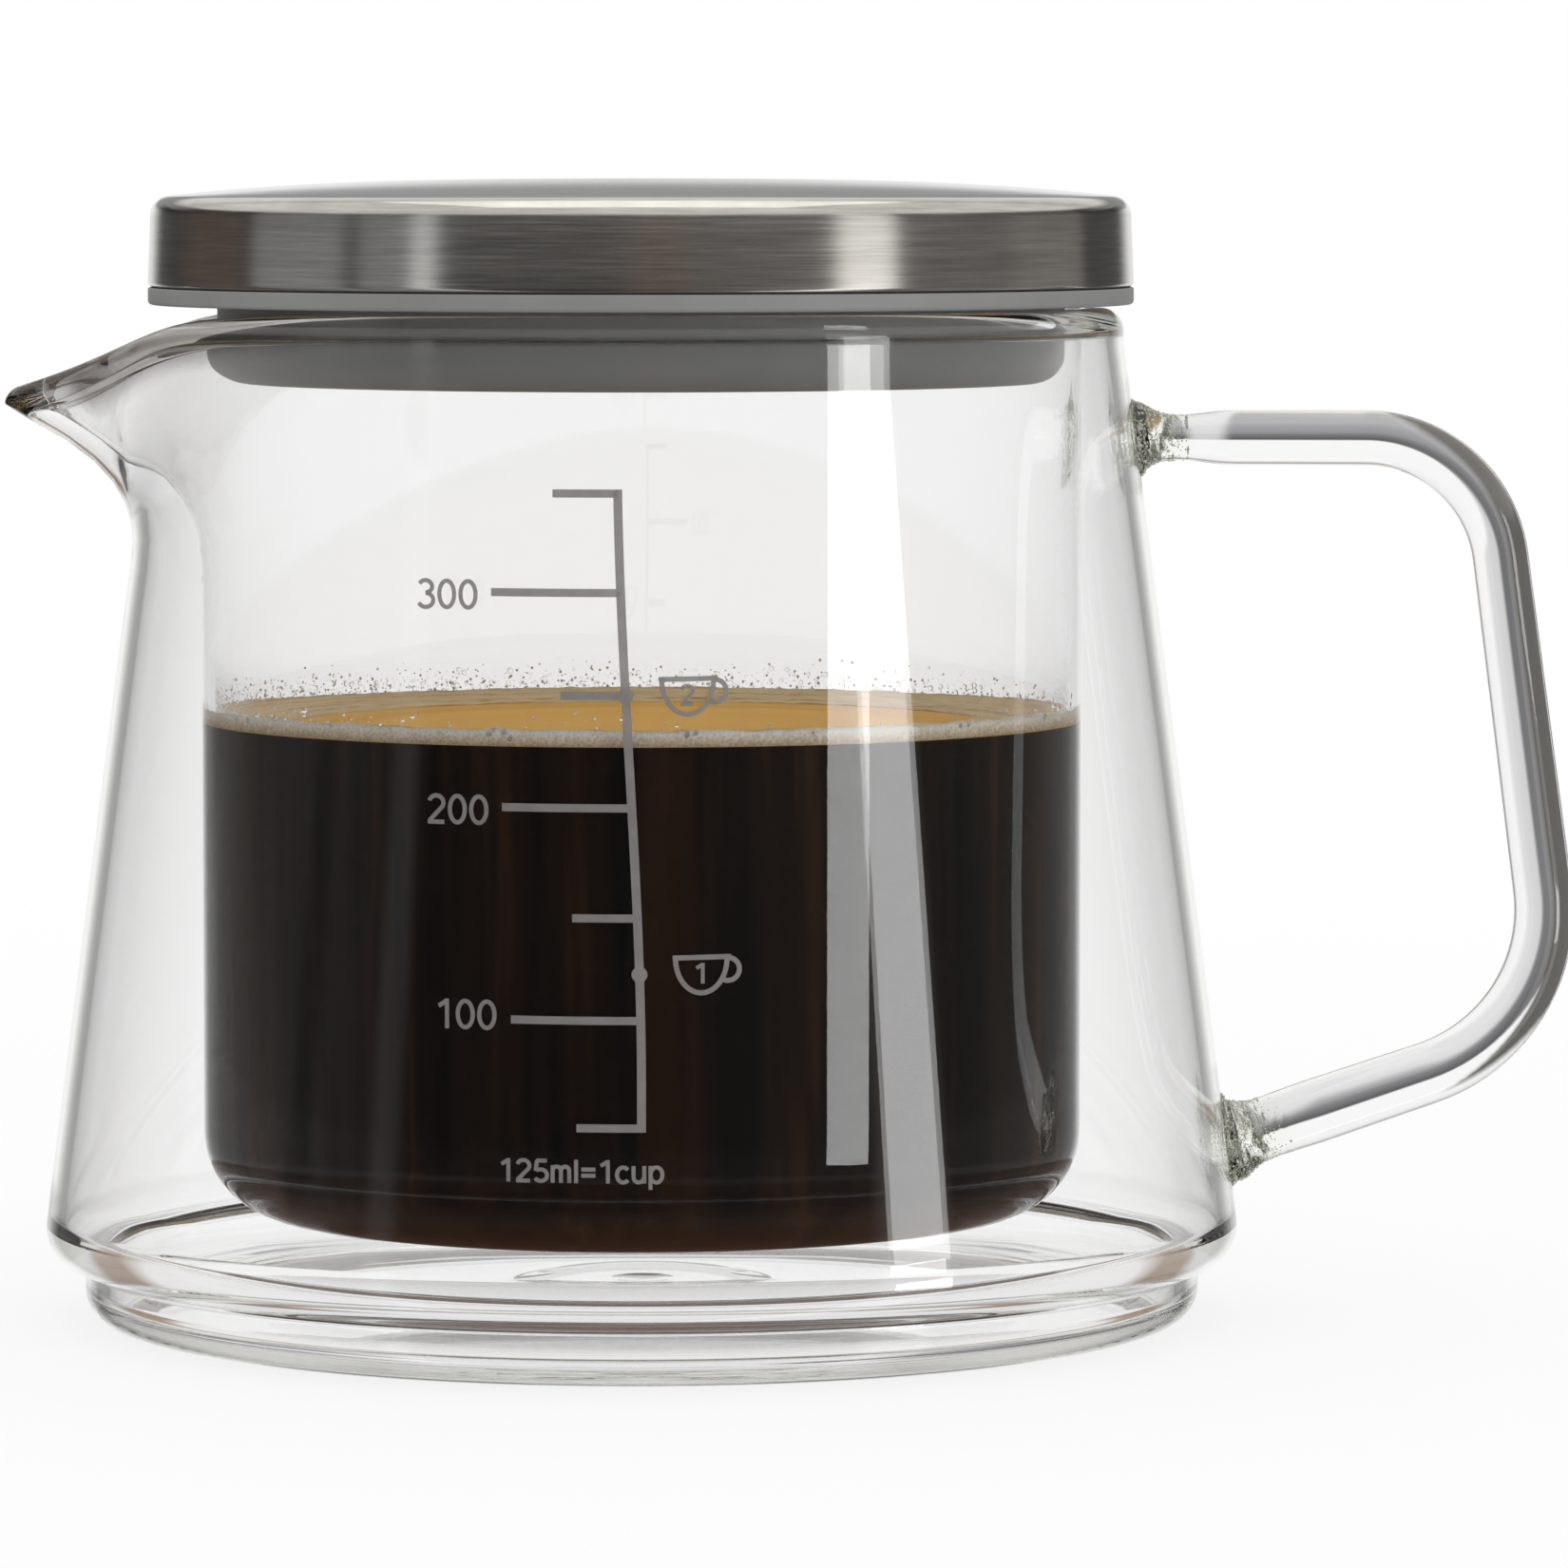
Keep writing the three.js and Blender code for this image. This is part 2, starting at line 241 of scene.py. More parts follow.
def paint(tree, shader, colour):
    tree.links.new(colour, shader.inputs["Base Color"])


def emboss(tree, shader, strength, distance, height):
    bump = add_node(tree, "ShaderNodeBump", {"Strength": strength, "Distance": distance, "Height": height})
    tree.links.new(bump.outputs[0], shader.inputs["Normal"])


def new_shape_tree(name, *sizes, counts=()):
    """A geometry tree with named inputs and a material; gives the tree, its input and its output."""
    tree = bpy.data.node_groups.new(name, "GeometryNodeTree")
    inputs = {"Geometry": ["Geometry"], "Float": sizes, "Int": counts, "Material": ["Material"]}
    for kind, keys in inputs.items():
        for key in keys:
            tree.interface.new_socket(key, in_out="INPUT", socket_type="NodeSocket" + kind)
    tree.interface.new_socket("Geometry", in_out="OUTPUT", socket_type="NodeSocketGeometry")
    return tree, tree.nodes.new("NodeGroupInput"), tree.nodes.new("NodeGroupOutput")


def noted(tree, name):
    """The number that a piece keeps for each of its points under a name."""
    node = add_node(tree, "GeometryNodeInputNamedAttribute", {"Name": name}, data_type="FLOAT")
    return node.outputs["Attribute"]


def finish_tree(tree, given, result, geometry, smooth=True):
    """Ends a tree in Realize Instances, its shading and Set Material."""
    realized = add_node(tree, "GeometryNodeRealizeInstances", {0: geometry})
    shaded = add_node(tree, "GeometryNodeSetShadeSmooth", {0: realized.outputs[0], "Shade Smooth": smooth})
    painted = add_node(tree, "GeometryNodeSetMaterial", {
        "Geometry": shaded.outputs[0],
        "Material": given.outputs["Material"],
    })
    tree.links.new(painted.outputs[0], result.inputs[0])
    return tree


def shape_by(piece, tree, settings):
    """Runs a geometry tree on a piece and keeps the result as its plain mesh."""
    modifier = piece.modifiers.new(tree.name, "NODES")
    modifier.node_group = tree
    for item in tree.interface.items_tree:
        if item.in_out == "INPUT" and item.name in settings:
            modifier[item.identifier] = settings[item.name]
    keep_result(piece)


def keep_result(piece):
    """Makes a piece's evaluated mesh its own and removes its modifiers."""
    graph = bpy.context.evaluated_depsgraph_get()
    mesh = bpy.data.meshes.new_from_object(piece.evaluated_get(graph))
    piece.modifiers.clear()
    piece.data = mesh
    mesh.name = piece.name


# Meshes


def new_piece(name, vertices, faces=(), edges=(), material=None):
    mesh = bpy.data.meshes.new(name)
    mesh.from_pydata(vertices, edges, faces)
    mesh.shade_smooth()
    if material:
        mesh.materials.append(material)
    piece = bpy.data.objects.new(name, mesh)
    scene.collection.objects.link(piece)
    return piece


def note(piece, name, values):
    """Keeps a number for each point of a piece under a name."""
    piece.data.attributes.new(name, "FLOAT", "POINT").data.foreach_set("value", list(values))


def rounded_outline(corners, arc_step=math.radians(9), longest=3 * MM):
    """Points along (x, z, round) corners: each corner is an arc, and straight runs are cut up."""
    points = []
    for i, (x, z, *rounding) in enumerate(corners):
        corner = Vector((x, z))
        radius = rounding[0] if rounding else 0
        if not radius or i in (0, len(corners) - 1):
            points.append(corner)
            continue
        before = Vector(corners[i - 1][:2]) - corner
        after = Vector(corners[i + 1][:2]) - corner
        half = before.angle(after) / 2
        tangent = min(radius / math.tan(half), 0.95 * before.length, 0.95 * after.length)
        radius = tangent * math.tan(half)
        start = corner + before.normalized() * tangent
        end = corner + after.normalized() * tangent
        centre = corner + (before.normalized() + after.normalized()).normalized() * radius / math.sin(half)
        spoke, last = start - centre, end - centre
        turn = math.atan2(spoke.x * last.y - spoke.y * last.x, spoke.dot(last))
        steps = max(2, math.ceil(abs(turn) / arc_step))
        for k in range(steps + 1):
            c, s = math.cos(turn * k / steps), math.sin(turn * k / steps)
            points.append(centre + Vector((spoke.x * c - spoke.y * s, spoke.x * s + spoke.y * c)))
    cut = [points[0]]
    for point in points[1:]:
        pieces = max(1, math.ceil((point - cut[-1]).length / longest))
        start = cut[-1]
        cut += [start.lerp(point, (k + 1) / pieces) for k in range(pieces)]
    return cut


def ring_angles(sides, crowding=0.0):
    """Angles from the spout's side, crowded towards it."""
    even = [2 * math.pi * k / sides for k in range(sides)]
    return [a - crowding * math.sin(a) for a in even]


def turned(outline, angles, closed=False, lift=None):
    """Vertices and faces of an outline turned about Z. Its right-hand side faces out.
    lift(place, angle) raises a point of the outline at that angle."""
    vertices, faces, rings = [], [], []
    for place, point in enumerate(outline):
        if point.x < 1e-9:
            rings.append([len(vertices)] * len(angles))
            vertices.append((0, 0, point.y))
            continue
        rings.append(list(range(len(vertices), len(vertices) + len(angles))))
        for a in angles:
            rise = lift(place, a) if lift else 0
            vertices.append((-point.x * math.cos(a), -point.x * math.sin(a), point.y + rise))
    pairs = list(zip(rings, rings[1:] + rings[:1] if closed else rings[1:]))
    for low, high in pairs:
        for j in range(len(angles)):
            k = (j + 1) % len(angles)
            corners = [low[j], low[k], high[k], high[j]]
            faces.append(list(dict.fromkeys(corners)))
    return vertices, faces


def joined(*parts):
    """One list of vertices and one of faces out of several."""
    vertices, faces = [], []
    for part_vertices, part_faces in parts:
        start = len(vertices)
        vertices += part_vertices
        faces += [[v + start for v in face] for face in part_faces]
    return vertices, faces


# Finishes


def clear_glass_finish():
    """Hand-worked glass: clear walls, olive and seedy where it was melted, and painted shade in the lip."""
    material, tree, shader = new_material(
        "clear_glass", IOR=1.47, Transmission_Weight=1.0, Roughness=0.0)
    place = object_place(tree)
    melted = 0.0
    for spot, size in MELTED_SPOTS:
        away = add_node(tree, "ShaderNodeVectorMath", {0: place, 1: spot}, operation="DISTANCE")
        near = between(tree, away.outputs["Value"], size, size * 0.55, kind="SMOOTHSTEP")
        melted = calc(tree, "MAXIMUM", melted, near)
    seeds = mottle(tree, place, 900.0, 3.0)
    patchy = calc(tree, "MULTIPLY", melted, plus(tree, seeds, 0.3), clamp=True)
    colour = blend(tree, patchy, (1.0, 1.0, 1.0), (0.955, 0.97, 0.92))
    # Painted shade: the lip's glass is darkened, standing in for darker surroundings refracted in the rim and
    # spout.
    lip = add_node(tree, "ShaderNodeAttribute", attribute_name="lip_shade").outputs["Fac"]
    paint(tree, shader, blend(tree, lip, colour, (0.25, 0.23, 0.215)))
    emboss(tree, shader, times(tree, melted, 0.2), 0.4 * MM, seeds)
    output = tree.nodes["Material Output"]
    passing = add_node(tree, "ShaderNodeBsdfTransparent", {"Color": (0.93, 0.94, 0.94, 1)})
    rays = add_node(tree, "ShaderNodeLightPath")
    open_to_lamps = add_node(tree, "ShaderNodeMixShader", {
        0: rays.outputs["Is Shadow Ray"], 1: shader.outputs[0], 2: passing.outputs[0],
    })
    tree.links.new(open_to_lamps.outputs[0], output.inputs["Surface"])
    depth = add_node(tree, "ShaderNodeVolumeAbsorption", {"Color": (0.84, 0.835, 0.84, 1), "Density": 8.0})
    tree.links.new(depth.outputs[0], output.inputs["Volume"])
    return material


def brushed_steel_finish():
    """Steel brushed round its axis: fine lines along the turn, by height and radius."""
    material, tree, shader = new_material(
        "brushed_steel", Metallic=1.0, Anisotropic=0.8, Anisotropic_Rotation=0.25, Roughness=0.22)
    x, y, z = parted(tree, object_place(tree))
    radius = from_axis(tree, x, y)
    along = plus(tree, radius, z)

    def lines(fineness, turn, detail):
        across, deep = (times(tree, calc(tree, "DIVIDE", side, radius), turn) for side in (x, y))
        return mottle(tree, place_of(tree, across, deep, times(tree, along, fineness)), 1.0, detail, 0.65)

    fine = lines(5000.0, 6.0, 3.0)
    broad = lines(1800.0, 2.0, 4.0)
    mixed = plus(tree, times(tree, fine, 0.6), times(tree, broad, 0.4))
    paint(tree, shader, ramp(tree, mixed, [(0.3, (0.39, 0.38, 0.365)), (0.7, (0.61, 0.60, 0.58))]))
    rough = between(tree, fine, 0.0, 1.0, 0.17, 0.26)
    to_top = between(tree, z, cap_high.z - 4 * MM, cap_high.z - 2 * MM)
    smoother_top = ramp(tree, to_top, [(0.2, 1.0), (0.8, 0.45)])
    tree.links.new(times(tree, rough, smoother_top), shader.inputs["Roughness"])
    emboss(tree, shader, 0.1, 0.04 * MM, fine)
    return material


def moulded_finish(name, dark, light, roughness, grain):
    """An even moulded or set stuff: faint mottling and a fine grain."""
    material, tree, shader = new_material(name, Roughness=roughness)
    place = object_place(tree)
    paint(tree, shader, ramp(tree, mottle(tree, place, 60.0, 4.0), [(0.3, dark), (0.7, light)]))
    emboss(tree, shader, 0.12, 0.05 * MM, mottle(tree, place, grain))
    return material


def coffee_finish():
    """Black coffee against the glass, with upright red-brown streaks."""
    material, tree, shader = new_material("coffee_body", Roughness=0.4, Specular_IOR_Level=0.0)
    x, y, z = parted(tree, object_place(tree))
    tall = place_of(tree, x, y, times(tree, z, 0.06))
    colour = ramp(tree, mottle(tree, tall, 150.0, 3.0, 0.6), [
        (0.40, (0.004, 0.003, 0.0025)),
        (0.56, (0.018, 0.009, 0.005)),
        (0.70, (0.060, 0.025, 0.010)),
    ])
    near_bottom = between(tree, z, BEAKER_BOTTOM + 5 * MM, BEAKER_BOTTOM, last=0.7)
    paint(tree, shader, blend(tree, near_bottom, colour, (0.10, 0.045, 0.02)))
    return material


def coffee_top_finish():
    """The coffee's surface: amber with darker rings, which is painted light from behind shining through the
    coffee; a golden painted reflection and painted sheen; and a pale painted reflection towards the front.
    """
    # Painted reflection and sheen: the metallic gloss with its golden tint and the amber sheen stand in for
    # light from behind coming through the coffee.
    material, tree, shader = new_material(
        "coffee_surface", Roughness=0.25, Metallic=0.3, Specular_IOR_Level=0.0,
        Specular_Tint=(1.0, 0.64, 0.22, 1),
        Sheen_Weight=1.0, Sheen_Roughness=0.3, Sheen_Tint=(1.0, 0.56, 0.10, 1))
    place = object_place(tree)
    x, y = parted(tree, place)[:2]
    share = calc(tree, "DIVIDE", from_axis(tree, x, y), BEAKER_INSIDE)
    swirl = minus(tree, mottle(tree, place, 180.0, 4.0), 0.5)
    # Painted light: the amber rings stand in for light from behind shining through the coffee.
    colour = ramp(tree, plus(tree, share, times(tree, swirl, 0.12)), [
        (0.45, (0.84, 0.48, 0.08)),
        (0.62, (1.0, 0.62, 0.12)),
        (0.70, (0.74, 0.40, 0.06)),
        (0.80, (1.0, 0.66, 0.16)),
        (0.97, (1.0, 0.60, 0.08)),
    ])
    # Painted reflection: a pale band towards the front, in place of the surface's own reflection.
    painted_front_reflection = between(tree, y, -0.2 * BEAKER_INSIDE, -0.9 * BEAKER_INSIDE, last=0.8)
    paint(tree, shader, blend(tree, painted_front_reflection, colour, (0.74, 0.64, 0.48)))
    return material


def foam_finish():
    """Cream foam against the wall, brown at its lower edge; amber on the side towards the coffee, which is
    painted light from behind shining through the thin coffee, and an amber painted sheen.
    """
    # Painted sheen: the amber sheen brightens the dim collar, standing in for light from behind.
    material, tree, shader = new_material(
        "foam", Roughness=0.35, Sheen_Weight=1.0, Sheen_Roughness=0.4, Sheen_Tint=(1.0, 0.58, 0.10, 1))
    place = object_place(tree)
    x, y, z = parted(tree, place)
    radius = from_axis(tree, x, y)
    height = between(tree, z, COFFEE_LEVEL - 0.2 * MM, FOAM_TOP)
    cells = add_node(tree, "ShaderNodeTexVoronoi", {"Vector": place, "Scale": 3200.0}).outputs["Distance"]
    cream = ramp(tree, plus(tree, times(tree, height, 0.8), times(tree, cells, 0.35)), [
        (0.15, (0.13, 0.085, 0.04)),
        (0.40, (0.44, 0.34, 0.22)),
        (0.70, (0.76, 0.65, 0.50)),
        (0.95, (0.97, 0.94, 0.86)),
    ])
    track = place_of(
        tree, times(tree, x, 60.0), times(tree, y, 60.0), times(tree, plus(tree, radius, z), 1500.0))
    # Painted light: amber for light from behind shining through the thin coffee on the collar.
    amber = ramp(tree, mottle(tree, track, 1.0, 3.0), [
        (0.36, (0.62, 0.31, 0.05)),
        (0.46, (1.0, 0.60, 0.12)),
        (0.60, (1.0, 0.80, 0.34)),
    ])
    at_wall = between(tree, radius, BEAKER_INSIDE - 0.8 * MM, BEAKER_INSIDE - 0.3 * MM)
    paint(tree, shader, blend(tree, at_wall, amber, cream))
    return material


def droplet_finish():
    """Clear water with a faint brown cast, and painted shade at the edge of each drop."""
    material, tree, shader = new_material(
        "condensed_water", IOR=1.33, Transmission_Weight=1.0, Roughness=0.0)
    colour = ramp(tree, mottle(tree, object_place(tree), 400.0), [
        (0.35, (0.98, 0.97, 0.95)), (0.7, (0.93, 0.90, 0.85)),
    ])
    # Painted shade: each drop's edge is darkened, standing in for dark surroundings refracted in it.
    edge = add_node(tree, "ShaderNodeLayerWeight", {"Blend": 0.5}).outputs["Facing"]
    edge = ramp(tree, edge, [(0.45, 0.0), (0.85, 1.0)])
    paint(tree, shader, blend(tree, edge, colour, (0.86, 0.83, 0.78)))
    return material


def print_finish():
    """Fired grey enamel, slightly uneven."""
    material, tree, shader = new_material("printed_enamel", Roughness=0.55, Alpha=0.7)
    paint(tree, shader, ramp(tree, mottle(tree, object_place(tree), 500.0, 3.0), [
        (0.3, (0.30, 0.275, 0.265)), (0.7, (0.36, 0.335, 0.325)),
    ]))
    return material


# Glass


def jacket_radius(height):
    return RIM_RADIUS + (RIM_BASE - height) * JACKET_SLOPE


def jacket_inside(height):
    return jacket_radius(height) - JACKET_WALL


def spout_tree():
    """Draws the spout out of a round vessel: a bell in the angle from -X, stronger towards the lip."""
    tree, given, result = new_shape_tree("drawn_spout", *SPOUT)
    size = given.outputs

    def up_from(low, high, value):
        return calc(tree, "DIVIDE", minus(tree, value, low), minus(tree, high, low), clamp=True)

    def bell(angle, half):
        ratio = calc(tree, "DIVIDE", angle, half)
        return calc(tree, "DIVIDE", 1.0, plus(tree, 1.0, times(tree, ratio, ratio)))

    x, y, z = parted(tree, add_node(tree, "GeometryNodeInputPosition").outputs[0])
    angle = calc(tree, "ARCTAN2", y, times(tree, x, -1.0))
    root = minus(tree, size["Rim top"], size["Depth"])
    depth = up_from(root, minus(tree, size["Rim top"], size["Lip"]), z)
    wall_depth = up_from(root, size["Rim base"], z)
    narrowing = times(tree, depth, minus(tree, size["Lip angle"], size["Root angle"]))
    half = plus(tree, size["Root angle"], narrowing)
    pull = times(tree, size["Reach"], calc(tree, "POWER", depth, size["Sweep"]))
    reach = plus(tree, from_axis(tree, x, y), times(tree, pull, bell(angle, half)))
    sink = times(tree, size["Drop"], times(tree, wall_depth, bell(angle, size["Drop angle"])))
    drawn = place_of(
        tree,
        times(tree, times(tree, reach, -1.0), calc(tree, "COSINE", angle)),
        times(tree, reach, calc(tree, "SINE", angle)),
        minus(tree, z, sink))
    moved = add_node(tree, "GeometryNodeSetPosition", {"Geometry": size["Geometry"], "Position": drawn})
    return finish_tree(tree, given, result, moved.outputs[0])


def smooth_step(value, low, high):
    share = min(1, max(0, (value - low) / (high - low)))
    return share * share * (3 - 2 * share)


def lip_shade_share(point):
    """How much painted shade a point of the round vessel gets: a little in the thick rim, most in the spout's
    edges.
    """
    angle = abs(math.degrees(math.atan2(point.y, -point.x)))
    beside_tip = smooth_step(angle, 1.5, 4) * (1 - smooth_step(angle, 32, 60))
    return max(0.25, beside_tip) * smooth_step(point.z, RIM_BASE + 0.6 * MM, RIM_BASE + 1.5 * MM)


def vessel(material):
    """Both walls as one sealed piece of glass: what the air touches, and the hollow between the walls."""
    angles = ring_angles(240, crowding=0.5)
    touched = rounded_outline([
        (0, FOOT_RECESS),
        (0.80 * FOOT_RADIUS, FOOT_RECESS, 20 * MM),
        (0.89 * FOOT_RADIUS, 0, 6 * MM),
        (FOOT_RADIUS, 0, FOOT_ROUND),
        (FOOT_RADIUS, STEP_HEIGHT, 0.5 * MM),
        (jacket_radius(STEP_HEIGHT), STEP_HEIGHT, SHOULDER_ROUND),
        (RIM_RADIUS, RIM_BASE),
        (RIM_RADIUS, RIM_TOP, RIM_OUTER_ROUND),
        (BEAKER_INSIDE, RIM_TOP, RIM_INNER_ROUND),
        (BEAKER_INSIDE, BEAKER_FLOOR_TOP, BEAKER_CORNER),
        (0, BEAKER_FLOOR_TOP),
    ])
    step_inside = STEP_HEIGHT + JACKET_WALL
    hollow = rounded_outline([
        (0, BEAKER_BOTTOM),
        (BEAKER_OUTSIDE, BEAKER_BOTTOM, BEAKER_CORNER + BEAKER_WALL),
        (BEAKER_OUTSIDE, HOLLOW_TOP, 0.6 * MM),
        (jacket_inside(RIM_BASE), HOLLOW_TOP, 0.6 * MM),
        (jacket_inside(RIM_BASE), RIM_BASE),
        (jacket_inside(step_inside), step_inside, SHOULDER_ROUND - JACKET_WALL),
        (FOOT_RADIUS - FOOT_WALL, step_inside, 0.5 * MM),
        (FOOT_RADIUS - FOOT_WALL, BASE_FLOOR, 1.2 * MM),
        (VENT_RADIUS + 4 * MM, BASE_FLOOR, 8 * MM),
        (VENT_RADIUS, BASE_FLOOR + VENT_RISE, 3 * MM),
        (VENT_RADIUS / 3, BASE_FLOOR + VENT_RISE, 3 * MM),
        (0, BASE_FLOOR + 0.6 * VENT_RISE),
    ])
    piece = new_piece("vessel_glass", *joined(turned(touched, angles), turned(hollow, angles)))
    # Each point keeps how much painted shade the lip gets.
    note(piece, "lip_shade", (lip_shade_share(vertex.co) for vertex in piece.data.vertices))
    shape_by(piece, spout_tree(), {**SPOUT, "Material": material})
    return piece


def rod_tree():
    """A rod along a line of points, each with its own radius, seedy where it was melted."""
    tree, given, result = new_shape_tree("melted_rod", "Seed height", "Seed scale", counts=["Sides"])
    line = add_node(tree, "GeometryNodeMeshToCurve", {"Mesh": given.outputs["Geometry"]})
    ring = add_node(tree, "GeometryNodeCurvePrimitiveCircle", {
        "Resolution": given.outputs["Sides"], "Radius": 1.0,
    })
    rod = add_node(tree, "GeometryNodeCurveToMesh", {
        "Curve": line.outputs[0],
        "Profile Curve": ring.outputs[0],
        "Scale": noted(tree, "rod_radius"),
        "Fill Caps": True,
    })
    seeds = add_node(tree, "ShaderNodeTexNoise", {"Scale": given.outputs["Seed scale"], "Detail": 2.0})
    rise = times(tree, minus(tree, seeds.outputs["Fac"], 0.5), given.outputs["Seed height"])
    outward = add_node(tree, "ShaderNodeVectorMath", {
        0: add_node(tree, "GeometryNodeInputNormal").outputs[0],
        "Scale": times(tree, rise, noted(tree, "beaded")),
    }, operation="SCALE")
    rough = add_node(tree, "GeometryNodeSetPosition", {
        "Geometry": rod.outputs[0], "Offset": outward.outputs[0],
    })
    return finish_tree(tree, given, result, rough.outputs[0])


def handle_line():
    """Points of the handle's middle line in the XZ plane, from the upper wall to the lower."""
    tilt = math.atan(JACKET_SLOPE)
    square = Vector((math.cos(tilt), math.sin(tilt)))
    upper = Vector((jacket_radius(HANDLE_TOP), HANDLE_TOP))
    lower = Vector((jacket_radius(HANDLE_FOOT), HANDLE_FOOT))
    return rounded_outline([
        tuple(upper - square * WELD_BITE),
        (*(upper + square * 0.6 * MM), 2 * MM),
        (upper.x + HANDLE_REACH, HANDLE_TOP, HANDLE_TOP_BEND),
        (jacket_radius(HANDLE_LOW) + HANDLE_REACH, HANDLE_LOW, HANDLE_LOW_BEND),
        (*(lower + square * 0.6 * MM), 2 * MM),
        tuple(lower - square * WELD_BITE),
    ], arc_step=math.radians(4), longest=0.5 * MM)


def rod_radius(run, length):
    """Radius of the rod at a run along it: a swelling body between two necks and two collars."""
    body = ROD_RADIUS + ROD_SWELL * (run / length) ** 2

    def end(away, weld, neck):
        collar = (weld - neck) * max(0, 1 - away / WELD_LENGTH) ** 2.2
        return collar - (body - neck) * (1 - smooth_step(away, WELD_LENGTH, NECK_LENGTH))

    upper = end(max(0, run - WELD_BITE), 3.8 * MM, 2.15 * MM)
    lower = end(max(0, length - run - WELD_BITE), 4.5 * MM, 3.0 * MM)
    return body + upper + lower


def handle(material):
    line = handle_line()
    runs = [0]
    for a, b in zip(line, line[1:]):
        runs.append(runs[-1] + (b - a).length)
    length = runs[-1]
    piece = new_piece(
        "handle_glass",
        [(point.x, 0, point.y) for point in line],
        edges=[(i, i + 1) for i in range(len(line) - 1)],
    )
    note(piece, "rod_radius", (rod_radius(run, length) for run in runs))
    note(piece, "beaded", (1 - smooth_step(min(run, length - run), 3 * MM, 7 * MM) for run in runs))
    shape_by(piece, rod_tree(), {
        "Sides": 40, "Seed height": 0.5 * MM, "Seed scale": 420.0, "Material": material,
    })
    return piece


def fused(body, addition):
    """One piece of glass out of two that were melted together."""
    union = body.modifiers.new("fused", "BOOLEAN")
    union.operation = "UNION"
    union.solver = "EXACT"
    union.object = addition
    keep_result(body)
    bpy.data.objects.remove(addition)
    body.data.shade_smooth()
    return body


# Lid


def lid_outline_pieces(steel, rubber, plastic):
    """The cap, its seal and the pan inside, each turned from its outline."""
    angles = ring_angles(200)
    flange = seal_high.x
    flange_top = seal_high.z
    plug = BEAKER_INSIDE - SEAL_PLAY
    opening = plug - SEAL_WALL
    cap_bottom = flange_top + 0.05 * MM

    def dome(inset):
        edge = flange - CAP_INSET - inset
        steps = 12
        points = []
        for k in range(steps + 1):
            share = k / steps
            rounding = CAP_ROUND - 0.8 * inset if k == steps else 0
            points.append((edge * share, cap_high.z - inset - CAP_SAG * share ** 3, rounding))
        return points

    cap = rounded_outline([
        *dome(CAP_SHEET),
        (flange - CAP_SHEET, cap_bottom, 0.15 * MM),
        (flange, cap_bottom, 0.5 * MM),
        *dome(0)[::-1],
    ])
    half_way = (opening, (seal_low.z + flange_top) / 2)
    seal = rounded_outline([
        half_way,
        (opening, seal_low.z, 0.4 * MM),
        (plug, seal_low.z, 3 * MM),
        (plug, SEAL_REST, 0.6 * MM),
        (flange, SEAL_REST, 0.4 * MM),
        (flange, flange_top, 0.2 * MM),
        (opening, flange_top, 0.4 * MM),
        half_way,
    ])[:-1]
    pan_outside = opening - PAN_PLAY
    pan_inside = pan_outside - PAN_WALL
    pan_floor = pan_low.z + PAN_WALL
    collar = flange - CAP_INSET - CAP_SHEET - PAN_PLAY
    pan = rounded_outline([
        (0, pan_low.z),
        (pan_outside, pan_low.z, 1 * MM),
        (pan_outside, cap_bottom, 0.4 * MM),
        (collar, cap_bottom, 0.3 * MM),
        (collar, pan_high.z, 0.3 * MM),
        (pan_inside, pan_high.z, 0.4 * MM),
        (pan_inside, pan_floor, 1 * MM),
        (0, pan_floor),
    ])
    return (
        new_piece("brushed_cap", *turned(cap, angles), material=steel),
        new_piece("soft_seal", *turned(seal, angles, closed=True), material=rubber),
        new_piece("inner_pan", *turned(pan, angles), material=plastic),
    )


# Coffee


def coffee(body_finish, surface_finish):
    """Coffee that reaches into the beaker's wall, so that no gap shows; the meniscus climbs it."""
    into_wall = 0.2 * MM
    reach = BEAKER_OUTSIDE - into_wall
    bottom = BEAKER_BOTTOM + into_wall
    outline = rounded_outline([
        (0, bottom),
        (reach, bottom, BEAKER_CORNER + BEAKER_WALL - into_wall),
        (reach, COFFEE_LEVEL + MENISCUS),
        (BEAKER_INSIDE - 0.1 * MM, COFFEE_LEVEL + MENISCUS),
        (BEAKER_INSIDE - 1.6 * MM, COFFEE_LEVEL, 2 * MM),
        (0, COFFEE_LEVEL),
    ])
    piece = new_piece("coffee", *turned(outline, ring_angles(160)), material=body_finish)
    piece.data.materials.append(surface_finish)
    for face in piece.data.polygons:
        if face.normal.z > 0.3 and face.center.z > COFFEE_LEVEL - 1 * MM:
            face.material_index = 1
    return piece


def foam_ring(material):
    """A low collar of foam on the beaker's wall, ragged along its edges and thinner at the back."""
    wall = BEAKER_INSIDE + 0.05 * MM
    under = COFFEE_LEVEL - 0.1 * MM
    spread = wall - 6.4 * MM
    outline = rounded_outline([
        (wall, under),
        (wall, FOAM_TOP),
        (wall - 0.7 * MM, FOAM_TOP + 0.05 * MM, 0.3 * MM),
        (wall - 4.6 * MM, COFFEE_LEVEL + 0.5 * MM, 1 * MM),
        (spread, COFFEE_LEVEL + 0.05 * MM, 0.6 * MM),
        (spread, under),
    ], longest=0.4 * MM)

    def ragged(place, angle):
        spot = Vector((math.cos(angle), math.sin(angle), 0.02 * place))
        return 0.25 * MM * noise.noise(spot * 18) + 0.12 * MM * noise.noise(spot * 70)

    collar = turned(outline, ring_angles(360), closed=True, lift=ragged)
    piece = new_piece("foam_ring", *collar, material=material)
    for vertex in piece.data.vertices:
        lower = 0.45 * smooth_step(vertex.co.y / wall, -0.2, 0.9)
        vertex.co.z += lower * (COFFEE_LEVEL - vertex.co.z)
    return piece


